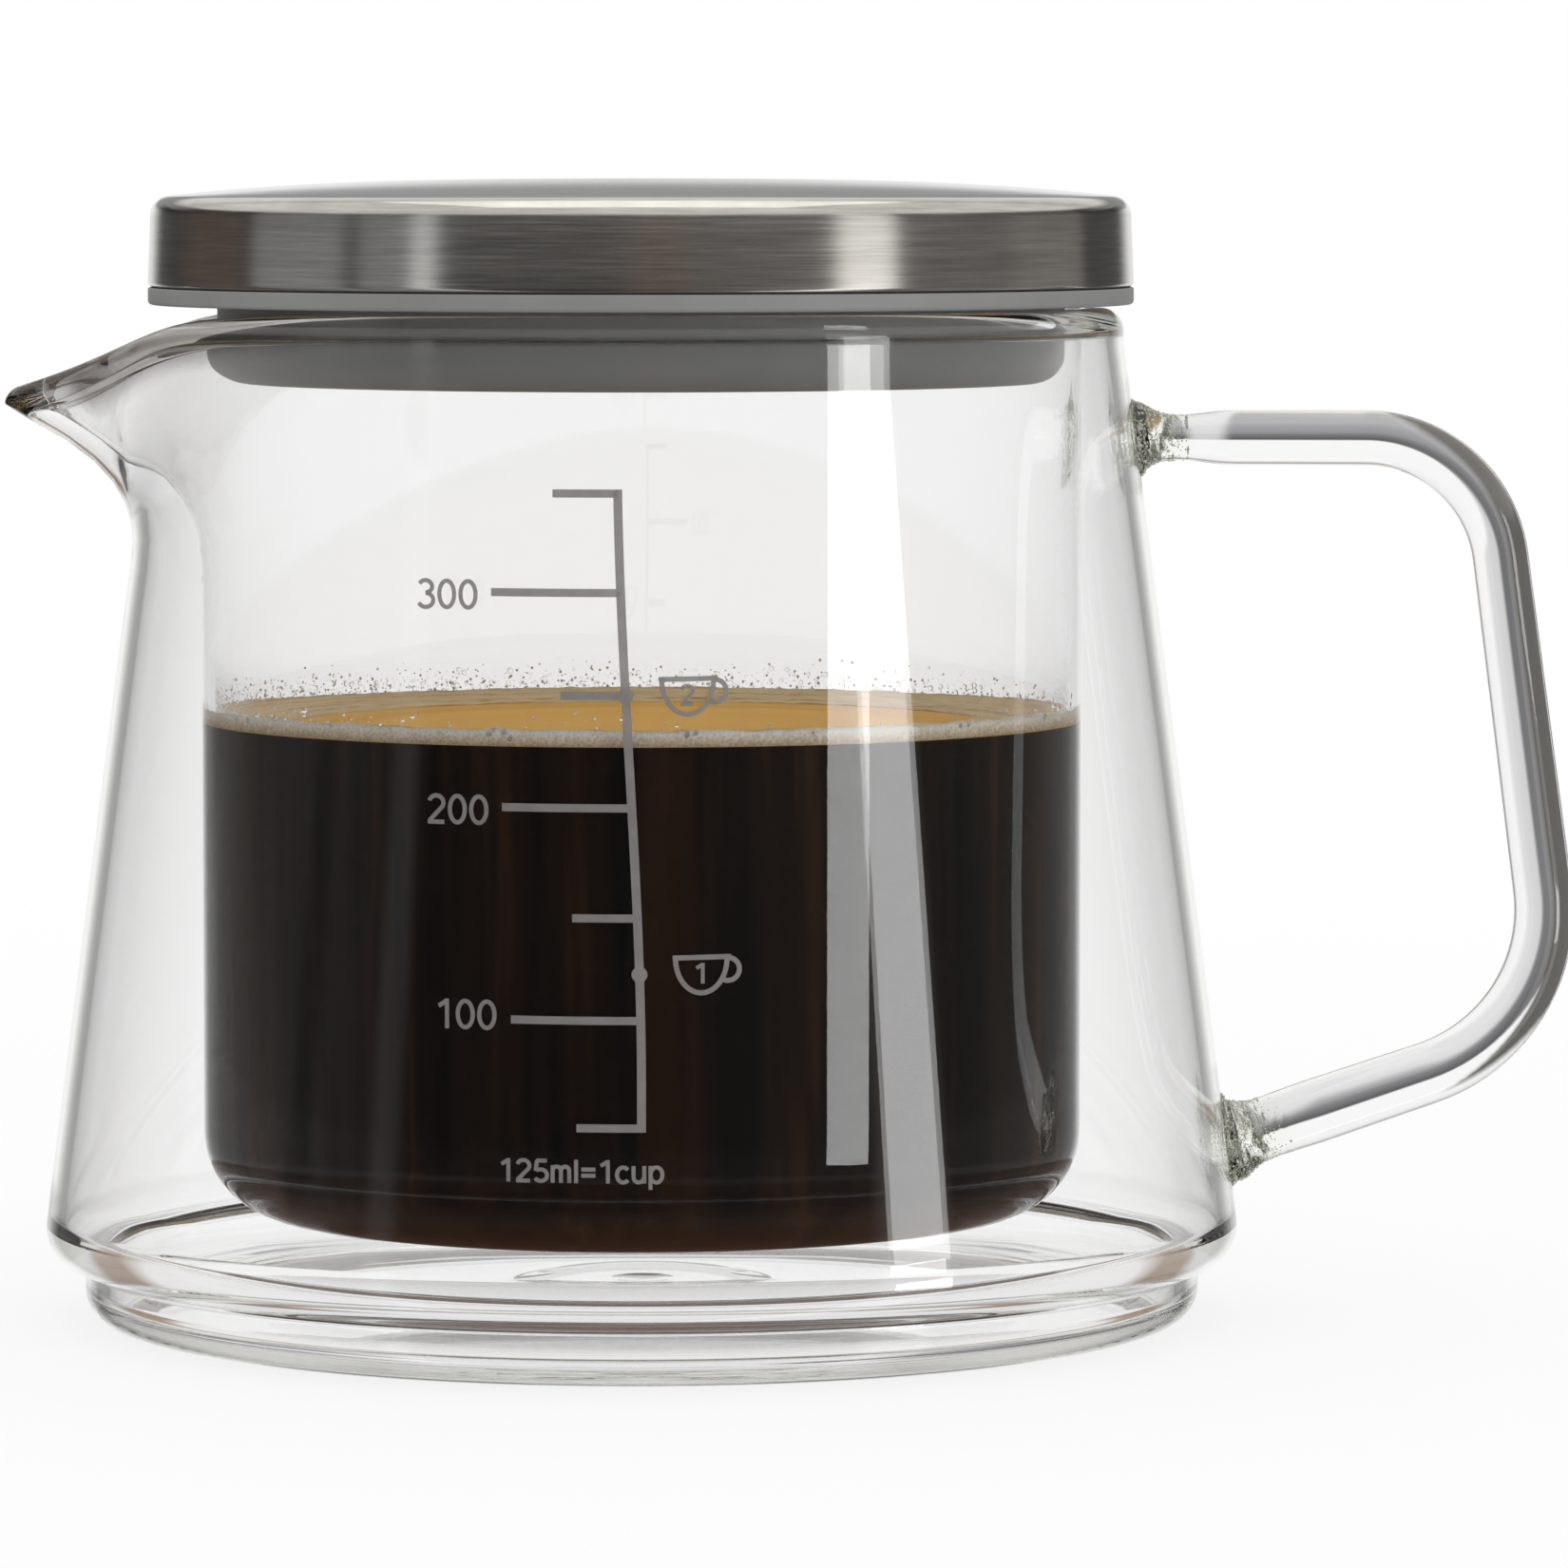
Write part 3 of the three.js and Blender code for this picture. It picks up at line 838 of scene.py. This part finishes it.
def bubble_tree():
    """Small beads on points, each of its own size, with a fixed seed."""
    tree, given, result = new_shape_tree(
        "beads", "Density", "Smallest", "Largest", "Flatness", counts=["Seed"])
    points = add_node(tree, "GeometryNodeDistributePointsOnFaces", {
        "Mesh": given.outputs["Geometry"],
        "Density": times(tree, given.outputs["Density"], noted(tree, "beaded")),
        "Seed": given.outputs["Seed"],
    })
    bead = add_node(tree, "GeometryNodeMeshUVSphere", {"Radius": 1.0, "Segments": 8, "Rings": 5})
    chance = add_node(tree, "FunctionNodeRandomValue", {"Seed": given.outputs["Seed"]}, data_type="FLOAT")
    mostly_small = calc(tree, "POWER", chance.outputs[1], 3.0)
    spread = minus(tree, given.outputs["Largest"], given.outputs["Smallest"])
    size = plus(tree, given.outputs["Smallest"], times(tree, mostly_small, spread))
    beads = add_node(tree, "GeometryNodeInstanceOnPoints", {
        "Points": points.outputs["Points"],
        "Instance": bead.outputs["Mesh"],
        "Rotation": points.outputs["Rotation"],
        "Scale": place_of(tree, size, size, times(tree, size, given.outputs["Flatness"])),
    })
    return finish_tree(tree, given, result, beads.outputs[0])


def wall_band(name, radius, low, high):
    """A band on the beaker's wall to put beads on, which faces the axis; most go low and to the back left."""
    heights = [high + (low - high) * k / 6 for k in range(7)]
    piece = new_piece(name, *turned([Vector((radius, height)) for height in heights], ring_angles(90)))

    def crowd(place):
        to_back_left = 0.6 + (0.4 * place.y - 0.25 * place.x) / radius
        return max(0.0, (high - place.z) / (high - low)) ** 1.5 * to_back_left

    note(piece, "beaded", (crowd(vertex.co) for vertex in piece.data.vertices))
    return piece


def beads(piece, material, seed, density, smallest, largest, flatness):
    """Beads a piece, so many to a square metre, in radii in millimetres."""
    shape_by(piece, BEAD_RULE, {
        "Density": density,
        "Smallest": smallest * MM,
        "Largest": largest * MM,
        "Flatness": flatness,
        "Seed": seed,
        "Material": material,
    })
    return piece


# Printed scale, drawn flat with X across and Z up, then wrapped on the beaker


def stroke(points, width):
    """A ribbon of a width along flat points, as thick as the print, with its back on the glass."""
    vertices, faces = [], []
    for i, point in enumerate(points):
        ahead = points[min(i + 1, len(points) - 1)] - points[max(i - 1, 0)]
        side = Vector((-ahead.y, ahead.x)).normalized() * width / 2
        for across in (point + side, point - side):
            vertices += [(across.x, 0, across.y), (across.x, -PRINT_THICKNESS, across.y)]
    for i in range(0, 4 * len(points) - 4, 4):
        for a, b in ((0, 1), (1, 3), (3, 2), (2, 0)):
            faces.append([i + a, i + b, i + 4 + b, i + 4 + a])
    faces.append([0, 2, 3, 1])
    end = 4 * len(points) - 4
    faces.append([end, end + 1, end + 3, end + 2])
    return vertices, faces


def straight(start, end, longest=0.8 * MM):
    start, end = Vector(start), Vector(end)
    pieces = max(1, math.ceil((end - start).length / longest))
    return [start.lerp(end, k / pieces) for k in range(pieces + 1)]


def arc(centre, radius_x, radius_z, first, last, steps=20):
    return [
        Vector((centre[0] + radius_x * math.cos(a), centre[1] + radius_z * math.sin(a)))
        for a in (first + (last - first) * k / steps for k in range(steps + 1))
    ]


def disc(centre, radius, sides=24):
    rim = arc(centre, radius, radius, 0, 2 * math.pi, sides)[:-1]
    vertices = [(p.x, 0, p.y) for p in rim] + [(p.x, -PRINT_THICKNESS, p.y) for p in rim]
    faces = [list(range(sides))[::-1], [sides + k for k in range(sides)]]
    faces += [[k, (k + 1) % sides, sides + (k + 1) % sides, sides + k] for k in range(sides)]
    return vertices, faces


def upright(x, low, high):
    return straight((x, low), (x, high), 0.25)


def level(z, left, right):
    return straight((left, z), (right, z), 0.25)


def curve(x, z, wide, tall, first, last):
    return arc((x, z), wide, tall, math.radians(first), math.radians(last), 22)


# Width and pen strokes of each character, for a height of 1
CHARACTERS = {
    "0": (0.58, [curve(0.28, 0.5, 0.205, 0.44, 0, 360)]),
    "1": (0.54, [upright(0.32, 0, 0.99), straight((0.09, 0.74), (0.32, 0.93), 0.25)]),
    "2": (0.58, [
        curve(0.28, 0.70, 0.2, 0.235, 165, -38) + straight((0.40, 0.51), (0.09, 0.10), 0.25),
        level(0.06, 0.04, 0.5),
    ]),
    "3": (0.58, [curve(0.27, 0.735, 0.185, 0.205, 155, -90), curve(0.27, 0.285, 0.215, 0.235, 90, -155)]),
    "5": (0.58, [
        level(0.93, 0.13, 0.47),
        straight((0.15, 0.93), (0.105, 0.48), 0.25),
        curve(0.27, 0.31, 0.21, 0.25, 130, -150),
    ]),
    "=": (0.58, [level(0.32, 0.05, 0.5), level(0.58, 0.05, 0.5)]),
    "m": (0.74, [
        upright(0.08, 0, 0.74),
        curve(0.215, 0.5, 0.135, 0.19, 180, 0) + upright(0.35, 0.45, 0),
        curve(0.485, 0.5, 0.135, 0.19, 180, 0) + upright(0.62, 0.45, 0),
    ]),
    "l": (0.22, [upright(0.1, 0, 0.99)]),
    "c": (0.52, [curve(0.27, 0.36, 0.2, 0.325, 42, 318)]),
    "u": (0.54, [
        upright(0.08, 0.74, 0.3) + curve(0.24, 0.26, 0.16, 0.215, 180, 360),
        upright(0.42, 0.74, 0),
    ]),
    "p": (0.54, [upright(0.08, 0.74, -0.27), curve(0.27, 0.36, 0.19, 0.325, 0, 360)]),
}


def lettering(text, centre, height, pen):
    """Strokes of a line of characters, centred."""
    wide = 1.32 * height
    across = centre[0] - wide * sum(CHARACTERS[letter][0] for letter in text) / 2
    strokes = []
    for letter in text:
        width, lines = CHARACTERS[letter]
        low = centre[1] - height / 2
        for line in lines:
            strokes.append(stroke([Vector((across + p.x * wide, low + p.y * height)) for p in line], pen))
        across += width * wide
    return strokes


def stem_place(height):
    """Where the bowed stem of the scale stands at a height."""
    return 0.62 * MM - 2.1 * MM * smooth_step(height - SCALE_BOTTOM, 4 * MM, 62 * MM)


def cup_sign(centre, number):
    x, z = centre
    thin = 0.46 * MM
    bowl = arc((x, z + 1.45 * MM), 2.35 * MM, 3.15 * MM, math.pi, 2 * math.pi)
    top = straight((x - 2.6 * MM, z + 1.5 * MM), (x + 2.7 * MM, z + 1.6 * MM))
    ear = arc((x + 2.45 * MM, z + 0.45 * MM), 1.05 * MM, 1.05 * MM, math.pi / 2, -0.65 * math.pi, 12)
    return [
        stroke(bowl, thin),
        stroke(top, thin),
        stroke(ear, thin),
        *lettering(number, (x, z + 0.1 * MM), 1.9 * MM, 0.34 * MM),
    ]


def wrap_tree():
    """Wraps a flat print round the beaker: across becomes the angle, depth the distance from the axis."""
    tree, given, result = new_shape_tree("wrapped_print", "Radius")
    size = given.outputs
    x, y, z = parted(tree, add_node(tree, "GeometryNodeInputPosition").outputs[0])
    turn = calc(tree, "DIVIDE", x, size["Radius"])
    out = minus(tree, size["Radius"], y)
    wrapped = place_of(
        tree,
        times(tree, out, calc(tree, "SINE", turn)),
        times(tree, times(tree, out, -1.0), calc(tree, "COSINE", turn)),
        z)
    moved = add_node(tree, "GeometryNodeSetPosition", {"Geometry": size["Geometry"], "Position": wrapped})
    return finish_tree(tree, given, result, moved.outputs[0], smooth=False)


def printed_scale(material):
    low = SCALE_BOTTOM - MARK_WIDTH / 2
    high = SCALE_BOTTOM + SCALE_MARKS[-1] + MARK_WIDTH / 2
    stem = [Vector((stem_place(z), z)) for z in (low + (high - low) * k / 60 for k in range(61))]
    art = [stroke(stem, STEM_WIDTH)]
    for place, offset in enumerate(SCALE_MARKS):
        height = SCALE_BOTTOM + offset
        end = stem_place(height)
        length = LONG_MARK if place % 2 else SHORT_MARK
        art.append(stroke(straight((end - length, height), (end, height)), MARK_WIDTH))
    for place, label, rise in ((1, "100", 0.35), (3, "200", -0.3), (5, "300", -0.25)):
        height = SCALE_BOTTOM + SCALE_MARKS[place]
        art += lettering(label, (stem_place(height) - 16.2 * MM, height + rise * MM), 2.75 * MM, 0.4 * MM)
    for offset, cups in ((14.07 * MM, "1"), (SCALE_MARKS[4], "2")):
        height = SCALE_BOTTOM + offset
        art.append(disc((stem_place(height), height), 0.72 * MM))
        art += cup_sign((stem_place(height) + 5.6 * MM, height), cups)
    art += lettering("125ml=1cup", (-4.9 * MM, 18.5 * MM), 2.15 * MM, 0.36 * MM)
    piece = new_piece("printed_scale", *joined(*art))
    shape_by(piece, wrap_tree(), {"Radius": BEAKER_OUTSIDE + 0.01 * MM, "Material": material})
    return piece


# Studio


# What each mirrors by the share of a turn: 0.25 is the object's left, 0.5 is behind it, 0.75 is its right
AROUND_STEEL = [
    (0.0, (0.12, 0.10, 0.09)),
    (0.02, (0.068, 0.064, 0.06)),
    (0.128, (0.072, 0.068, 0.064)),
    (0.136, 1.2),
    (0.145, 1.2),
    (0.151, (0.28, 0.275, 0.27)),
    (0.184, (0.36, 0.355, 0.35)),
    (0.189, (0.08, 0.075, 0.07)),
    (0.198, (0.08, 0.075, 0.07)),
    (0.203, (0.36, 0.355, 0.35)),
    (0.278, (0.34, 0.335, 0.33)),
    (0.283, (0.08, 0.07, 0.065)),
    (0.292, (0.08, 0.07, 0.065)),
    (0.300, (0.13, 0.10, 0.08)),
    (0.345, (0.14, 0.105, 0.085)),
    (0.385, 0.07),
    (0.42, 0.10),
    (0.45, 0.95),
    (0.55, 0.95),
    (0.58, 0.10),
    (0.645, (0.09, 0.085, 0.08)),
    (0.655, (0.30, 0.285, 0.27)),
    (0.725, (0.29, 0.275, 0.26)),
    (0.735, (0.22, 0.21, 0.20)),
    (0.825, (0.20, 0.19, 0.18)),
    (0.832, (1.9, 1.86, 1.79)),
    (0.865, (1.9, 1.86, 1.79)),
    (0.874, (0.22, 0.21, 0.20)),
    (0.95, (0.15, 0.145, 0.137)),
    (0.985, (0.16, 0.115, 0.092)),
]
AROUND_GLASS = [
    (0.0, (0.035, 0.03, 0.027)),
    (0.16, (0.032, 0.03, 0.03)),
    (0.22, (0.10, 0.10, 0.105)),
    (0.33, (0.14, 0.12, 0.10)),
    (0.40, 0.22),
    (0.435, 0.40),
    (0.46, 0.95),
    (0.54, 0.95),
    (0.565, 0.40),
    (0.60, 0.22),
    (0.67, (0.13, 0.12, 0.11)),
    (0.78, 0.07),
    (0.95, (0.045, 0.04, 0.04)),
    (0.985, (0.13, 0.065, 0.04)),
]
WHITE = (1.0, 1.0, 1.0)
WARM_WHITE = (1.0, 0.98, 0.94)
ROOM_GREY = (0.85, 0.85, 0.85)
TABLE_BROWN = (0.36, 0.27, 0.21)


def studio_world():
    """White to the camera and through thin walls; a darker studio in reflections and solid glass."""
    world = bpy.data.worlds.new("studio")
    scene.world = world
    world.use_nodes = True
    tree = world.node_tree
    x, y, z = parted(tree, add_node(tree, "ShaderNodeTexCoord").outputs["Generated"])
    around = plus(tree, calc(tree, "DIVIDE", calc(tree, "ARCTAN2", x, y), 2 * math.pi), 0.5)
    above = plus(tree, calc(tree, "DIVIDE", calc(tree, "ARCSINE", z), math.pi), 0.5)
    rays = add_node(tree, "ShaderNodeLightPath").outputs

    def over(base, share, colour):
        return blend(tree, share, base, colour)

    def by_height(*stops):
        return ramp(tree, above, stops)

    def by_turn(*stops):
        return ramp(tree, around, stops)

    def past_walls(count):
        return calc(tree, "GREATER_THAN", rays["Transmission Depth"], count)

    def turned_back(count):
        return calc(tree, "GREATER_THAN", rays["Glossy Depth"], count)

    # Mirrored in the steel
    behind = by_turn((0.36, 0.0), (0.42, 1.0), (0.58, 1.0), (0.64, 0.0))
    lit_above = times(tree, minus(tree, 1.0, behind), by_height((0.59, 0.0), (0.61, 1.0)))
    grey_above = times(tree, behind, by_height((0.557, 0.0), (0.566, 1.0)))
    over_jacket = by_height((0.522, 0.0), (0.536, 0.65), (0.58, 0.65), (0.60, 0.0))
    steel = over(by_turn(*AROUND_STEEL), over_jacket, (0.02, 0.02, 0.02))
    steel = over(steel, lit_above, WARM_WHITE)
    steel = over(steel, grey_above, by_height((0.583, 0.34), (0.61, WARM_WHITE)))

    # Mirrored in and behind the glass, by the walls that light passed and the times that it turned back
    in_walls = past_walls(0.5)
    low = times(tree, in_walls, by_height((0.39, 1.0), (0.43, 0.0)))
    in_beaker = times(tree, low, past_walls(3.5))
    glassy = over(by_turn(*AROUND_GLASS), by_height((0.72, 0.0), (0.80, 0.7)), (0.6, 0.6, 0.6))
    mirrored = over(steel, in_walls, glassy)
    mirrored = over(mirrored, low, by_height(
        (0.32, (0.86, 0.85, 0.85)), (0.345, TABLE_BROWN), (0.38, TABLE_BROWN), (0.40, (0.74, 0.73, 0.73))))
    mirrored = over(mirrored, in_beaker, (0.09, 0.05, 0.035))
    mirrored = over(mirrored, times(tree, turned_back(1.5), 0.55), (0.78, 0.78, 0.79))
    mirrored = over(mirrored, turned_back(2.5), (0.74, 0.74, 0.70))
    mirrored = over(mirrored, past_walls(4.5), WHITE)

    # Seen through the solid handle and lip, and through the walls
    dark_low_left = times(
        tree,
        by_height((0.502, 1.0), (0.512, 0.0)),
        by_turn(
            (0.30, 0.2), (0.36, 1.0), (0.472, 1.0), (0.478, 0.9), (0.490, 0.9),
            (0.496, 1.0), (0.514, 1.0), (0.524, 0.38), (0.565, 0.3), (0.59, 0.0)))
    dark_left = times(
        tree,
        by_height((0.60, 1.0), (0.66, 0.0)),
        by_turn((0.30, 0.2), (0.36, 1.0), (0.468, 1.0), (0.478, 0.0)))
    far_up_right = calc(
        tree, "MAXIMUM", by_height((0.74, 0.0), (0.80, 0.8)), by_turn((0.66, 0.0), (0.70, 0.8)))
    shade = by_height(
        (0.10, (0.80, 0.79, 0.77)),
        (0.24, 0.42),
        (0.36, (0.40, 0.405, 0.42)),
        (0.44, (0.30, 0.30, 0.31)),
        (0.50, (0.11, 0.11, 0.115)))
    shade = over(shade, by_turn((0.478, 1.0), (0.492, 0.0)), (0.13, 0.126, 0.117))
    through_solid = over(WHITE, calc(tree, "MAXIMUM", dark_low_left, dark_left), shade)
    through_solid = over(through_solid, far_up_right, (0.22, 0.18, 0.16))
    through_walls = by_height((0.2, (0.88, 0.87, 0.86)), (0.45, 1.0))
    through = over(through_solid, past_walls(3.5), through_walls)

    seen = over(ROOM_GREY, rays["Is Transmission Ray"], through)
    seen = over(seen, turned_back(0.5), mirrored)
    seen = over(seen, rays["Is Diffuse Ray"], ROOM_GREY)
    seen = over(seen, rays["Is Camera Ray"], WHITE)
    tree.links.new(seen, tree.nodes["Background"].inputs["Color"])


def soft_box(name, turn, distance, height, width, tall, glow):
    """An area lamp that faces the object, turned from the camera's side to the right."""
    lamp = bpy.data.lights.new(name, "AREA")
    lamp.shape = "RECTANGLE"
    lamp.size = width
    lamp.size_y = tall
    lamp.energy = glow * math.pi * width * tall
    lamp.use_nodes = True
    tree = lamp.node_tree
    walls = add_node(tree, "ShaderNodeLightPath").outputs["Transmission Depth"]
    tree.links.new(calc(tree, "LESS_THAN", walls, 4.5), tree.nodes["Emission"].inputs["Strength"])
    holder = bpy.data.objects.new(name, lamp)
    a = math.radians(turn)
    holder.location = (distance * math.sin(a), -distance * math.cos(a), height)
    holder.rotation_euler = (math.pi / 2, 0, a)
    holder.visible_camera = False
    scene.collection.objects.link(holder)
    return holder


def keep_off(lamp, piece):
    """Stops a lamp from reaching one piece."""
    held = bpy.data.collections.new(lamp.name + "_off")
    held.objects.link(piece)
    lamp.light_linking.receiver_collection = held
    held.collection_objects[0].light_linking.link_state = "EXCLUDE"


def floor():
    """A pale floor that turns white away from the object for the camera."""
    size, drop = 3, -0.1 * MM
    corners = [(-size, -size, drop), (size, -size, drop), (size, size, drop), (-size, size, drop)]
    material, tree, shader = new_material(
        "pale_floor", Base_Color=(0.9, 0.9, 0.9, 1), Roughness=0.8, Specular_IOR_Level=0.1)
    seen = add_node(tree, "ShaderNodeLightPath").outputs["Is Camera Ray"]
    white = add_node(tree, "ShaderNodeEmission", {"Color": (1, 1, 1, 1), "Strength": 1.0})
    away = add_node(tree, "ShaderNodeVectorMath", {0: object_place(tree)}, operation="LENGTH")
    whiter = between(tree, away.outputs["Value"], 0.12, 0.6, 0.82, 1.0, kind="SMOOTHSTEP")
    mixed = add_node(tree, "ShaderNodeMixShader", {
        0: times(tree, seen, whiter), 1: shader.outputs[0], 2: white.outputs[0],
    })
    tree.links.new(mixed.outputs[0], tree.nodes["Material Output"].inputs["Surface"])
    piece = new_piece("floor", corners, [[0, 1, 2, 3]], material=material)
    piece.visible_glossy = False
    piece.visible_transmission = False


def camera():
    """A long lens in front of the object, a little above it."""
    data = bpy.data.cameras.new("camera")
    data.sensor_width = 36
    data.lens = 199.7
    data.clip_start = 0.05
    data.clip_end = 20
    aim = Vector((0.0136, 0, 0.0509))
    holder = bpy.data.objects.new("camera", data)
    holder.location = (aim.x, -0.830, 0.111)
    holder.rotation_euler = (aim - holder.location).to_track_quat("-Z", "Y").to_euler()
    scene.collection.objects.link(holder)
    scene.camera = holder


# Assembly

# Middle and size of each spot where the glass was melted: two welds and the spout's tip
MELTED_SPOTS = [
    ((jacket_radius(HANDLE_TOP), 0, HANDLE_TOP), 6.5 * MM),
    ((jacket_radius(HANDLE_FOOT), 0, HANDLE_FOOT), 8 * MM),
    ((rim_low.x, 0, RIM_TOP - SPOUT["Drop"]), 5 * MM),
]
BEAD_RULE = bubble_tree()

glass = clear_glass_finish()
rod = handle(glass)
seeds = rod.copy()
seeds.data = rod.data.copy()
seeds.name = "weld_seeds"
scene.collection.objects.link(seeds)
carafe_glass = fused(vessel(glass), rod)
carafe_glass.name = "carafe_glass"
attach(carafe_glass, "carafe")
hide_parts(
    "inner_beaker", "outer_jacket", "rim_weld", "base_dish", "vent_seal",
    "handle", "upper_handle_weld", "lower_handle_weld")

cap, seal, pan = lid_outline_pieces(
    brushed_steel_finish(),
    moulded_finish("grey_silicone", (0.21, 0.21, 0.204), (0.252, 0.252, 0.246), 0.55, 4000.0),
    moulded_finish("grey_plastic", (0.14, 0.14, 0.137), (0.165, 0.165, 0.162), 0.45, 2500.0),
)
for piece, node, slot in (
    (cap, "lid_cap", "brushed_cap"),
    (seal, "lid_seal", "grey_seal"),
    (pan, "lid_pan", "grey_pan"),
):
    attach(piece, "lid")
    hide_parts(node)

contents = [
    coffee(coffee_finish(), coffee_top_finish()),
    foam_ring(foam_finish()),
    beads(
        wall_band("foam_bubbles", BEAKER_INSIDE - 0.15 * MM, COFFEE_LEVEL + 0.8 * MM, FOAM_TOP + 2.2 * MM),
        moulded_finish("pale_foam", (0.78, 0.72, 0.62), (0.98, 0.96, 0.92), 0.3, 2500.0),
        seed=4, density=9e6, smallest=0.04, largest=0.17, flatness=1.0),
    beads(
        wall_band("droplets", BEAKER_INSIDE - 0.02 * MM, FOAM_TOP - 1.2 * MM, FOAM_TOP + 1.8 * MM),
        droplet_finish(),
        seed=9, density=5e6, smallest=0.05, largest=0.34, flatness=0.7),
    # The weld's seeds are real bubbles; their pale olive is partly painted light, standing in for light
    # scattered in the seedy glass.
    beads(
        seeds,
        moulded_finish("melted_seeds_and_painted_light", (0.42, 0.43, 0.32), (0.80, 0.81, 0.70), 0.4, 3000.0),
        seed=2, density=7e6, smallest=0.06, largest=0.17, flatness=0.8),
    printed_scale(print_finish()),
]
for piece in contents:
    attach(piece, "carafe")

studio_world()
for name, height, tall, glow in (
    ("right_strip_low", -0.07, 0.26, 8.0),
    ("right_strip_high", 0.27, 0.32, 4.7),
):
    keep_off(soft_box(name, 54.5, 1.3, height, 0.27, tall, glow), cap)
overhead = soft_box("overhead", 0, 0.0, 1.3, 1.2, 1.2, 0.8)
overhead.rotation_euler = (0, 0, 0)
floor()
camera()

scene.view_settings.view_transform = "Standard"
scene.cycles.max_bounces = 40
scene.cycles.glossy_bounces = 36
scene.cycles.transmission_bounces = 36
scene.cycles.transparent_max_bounces = 36
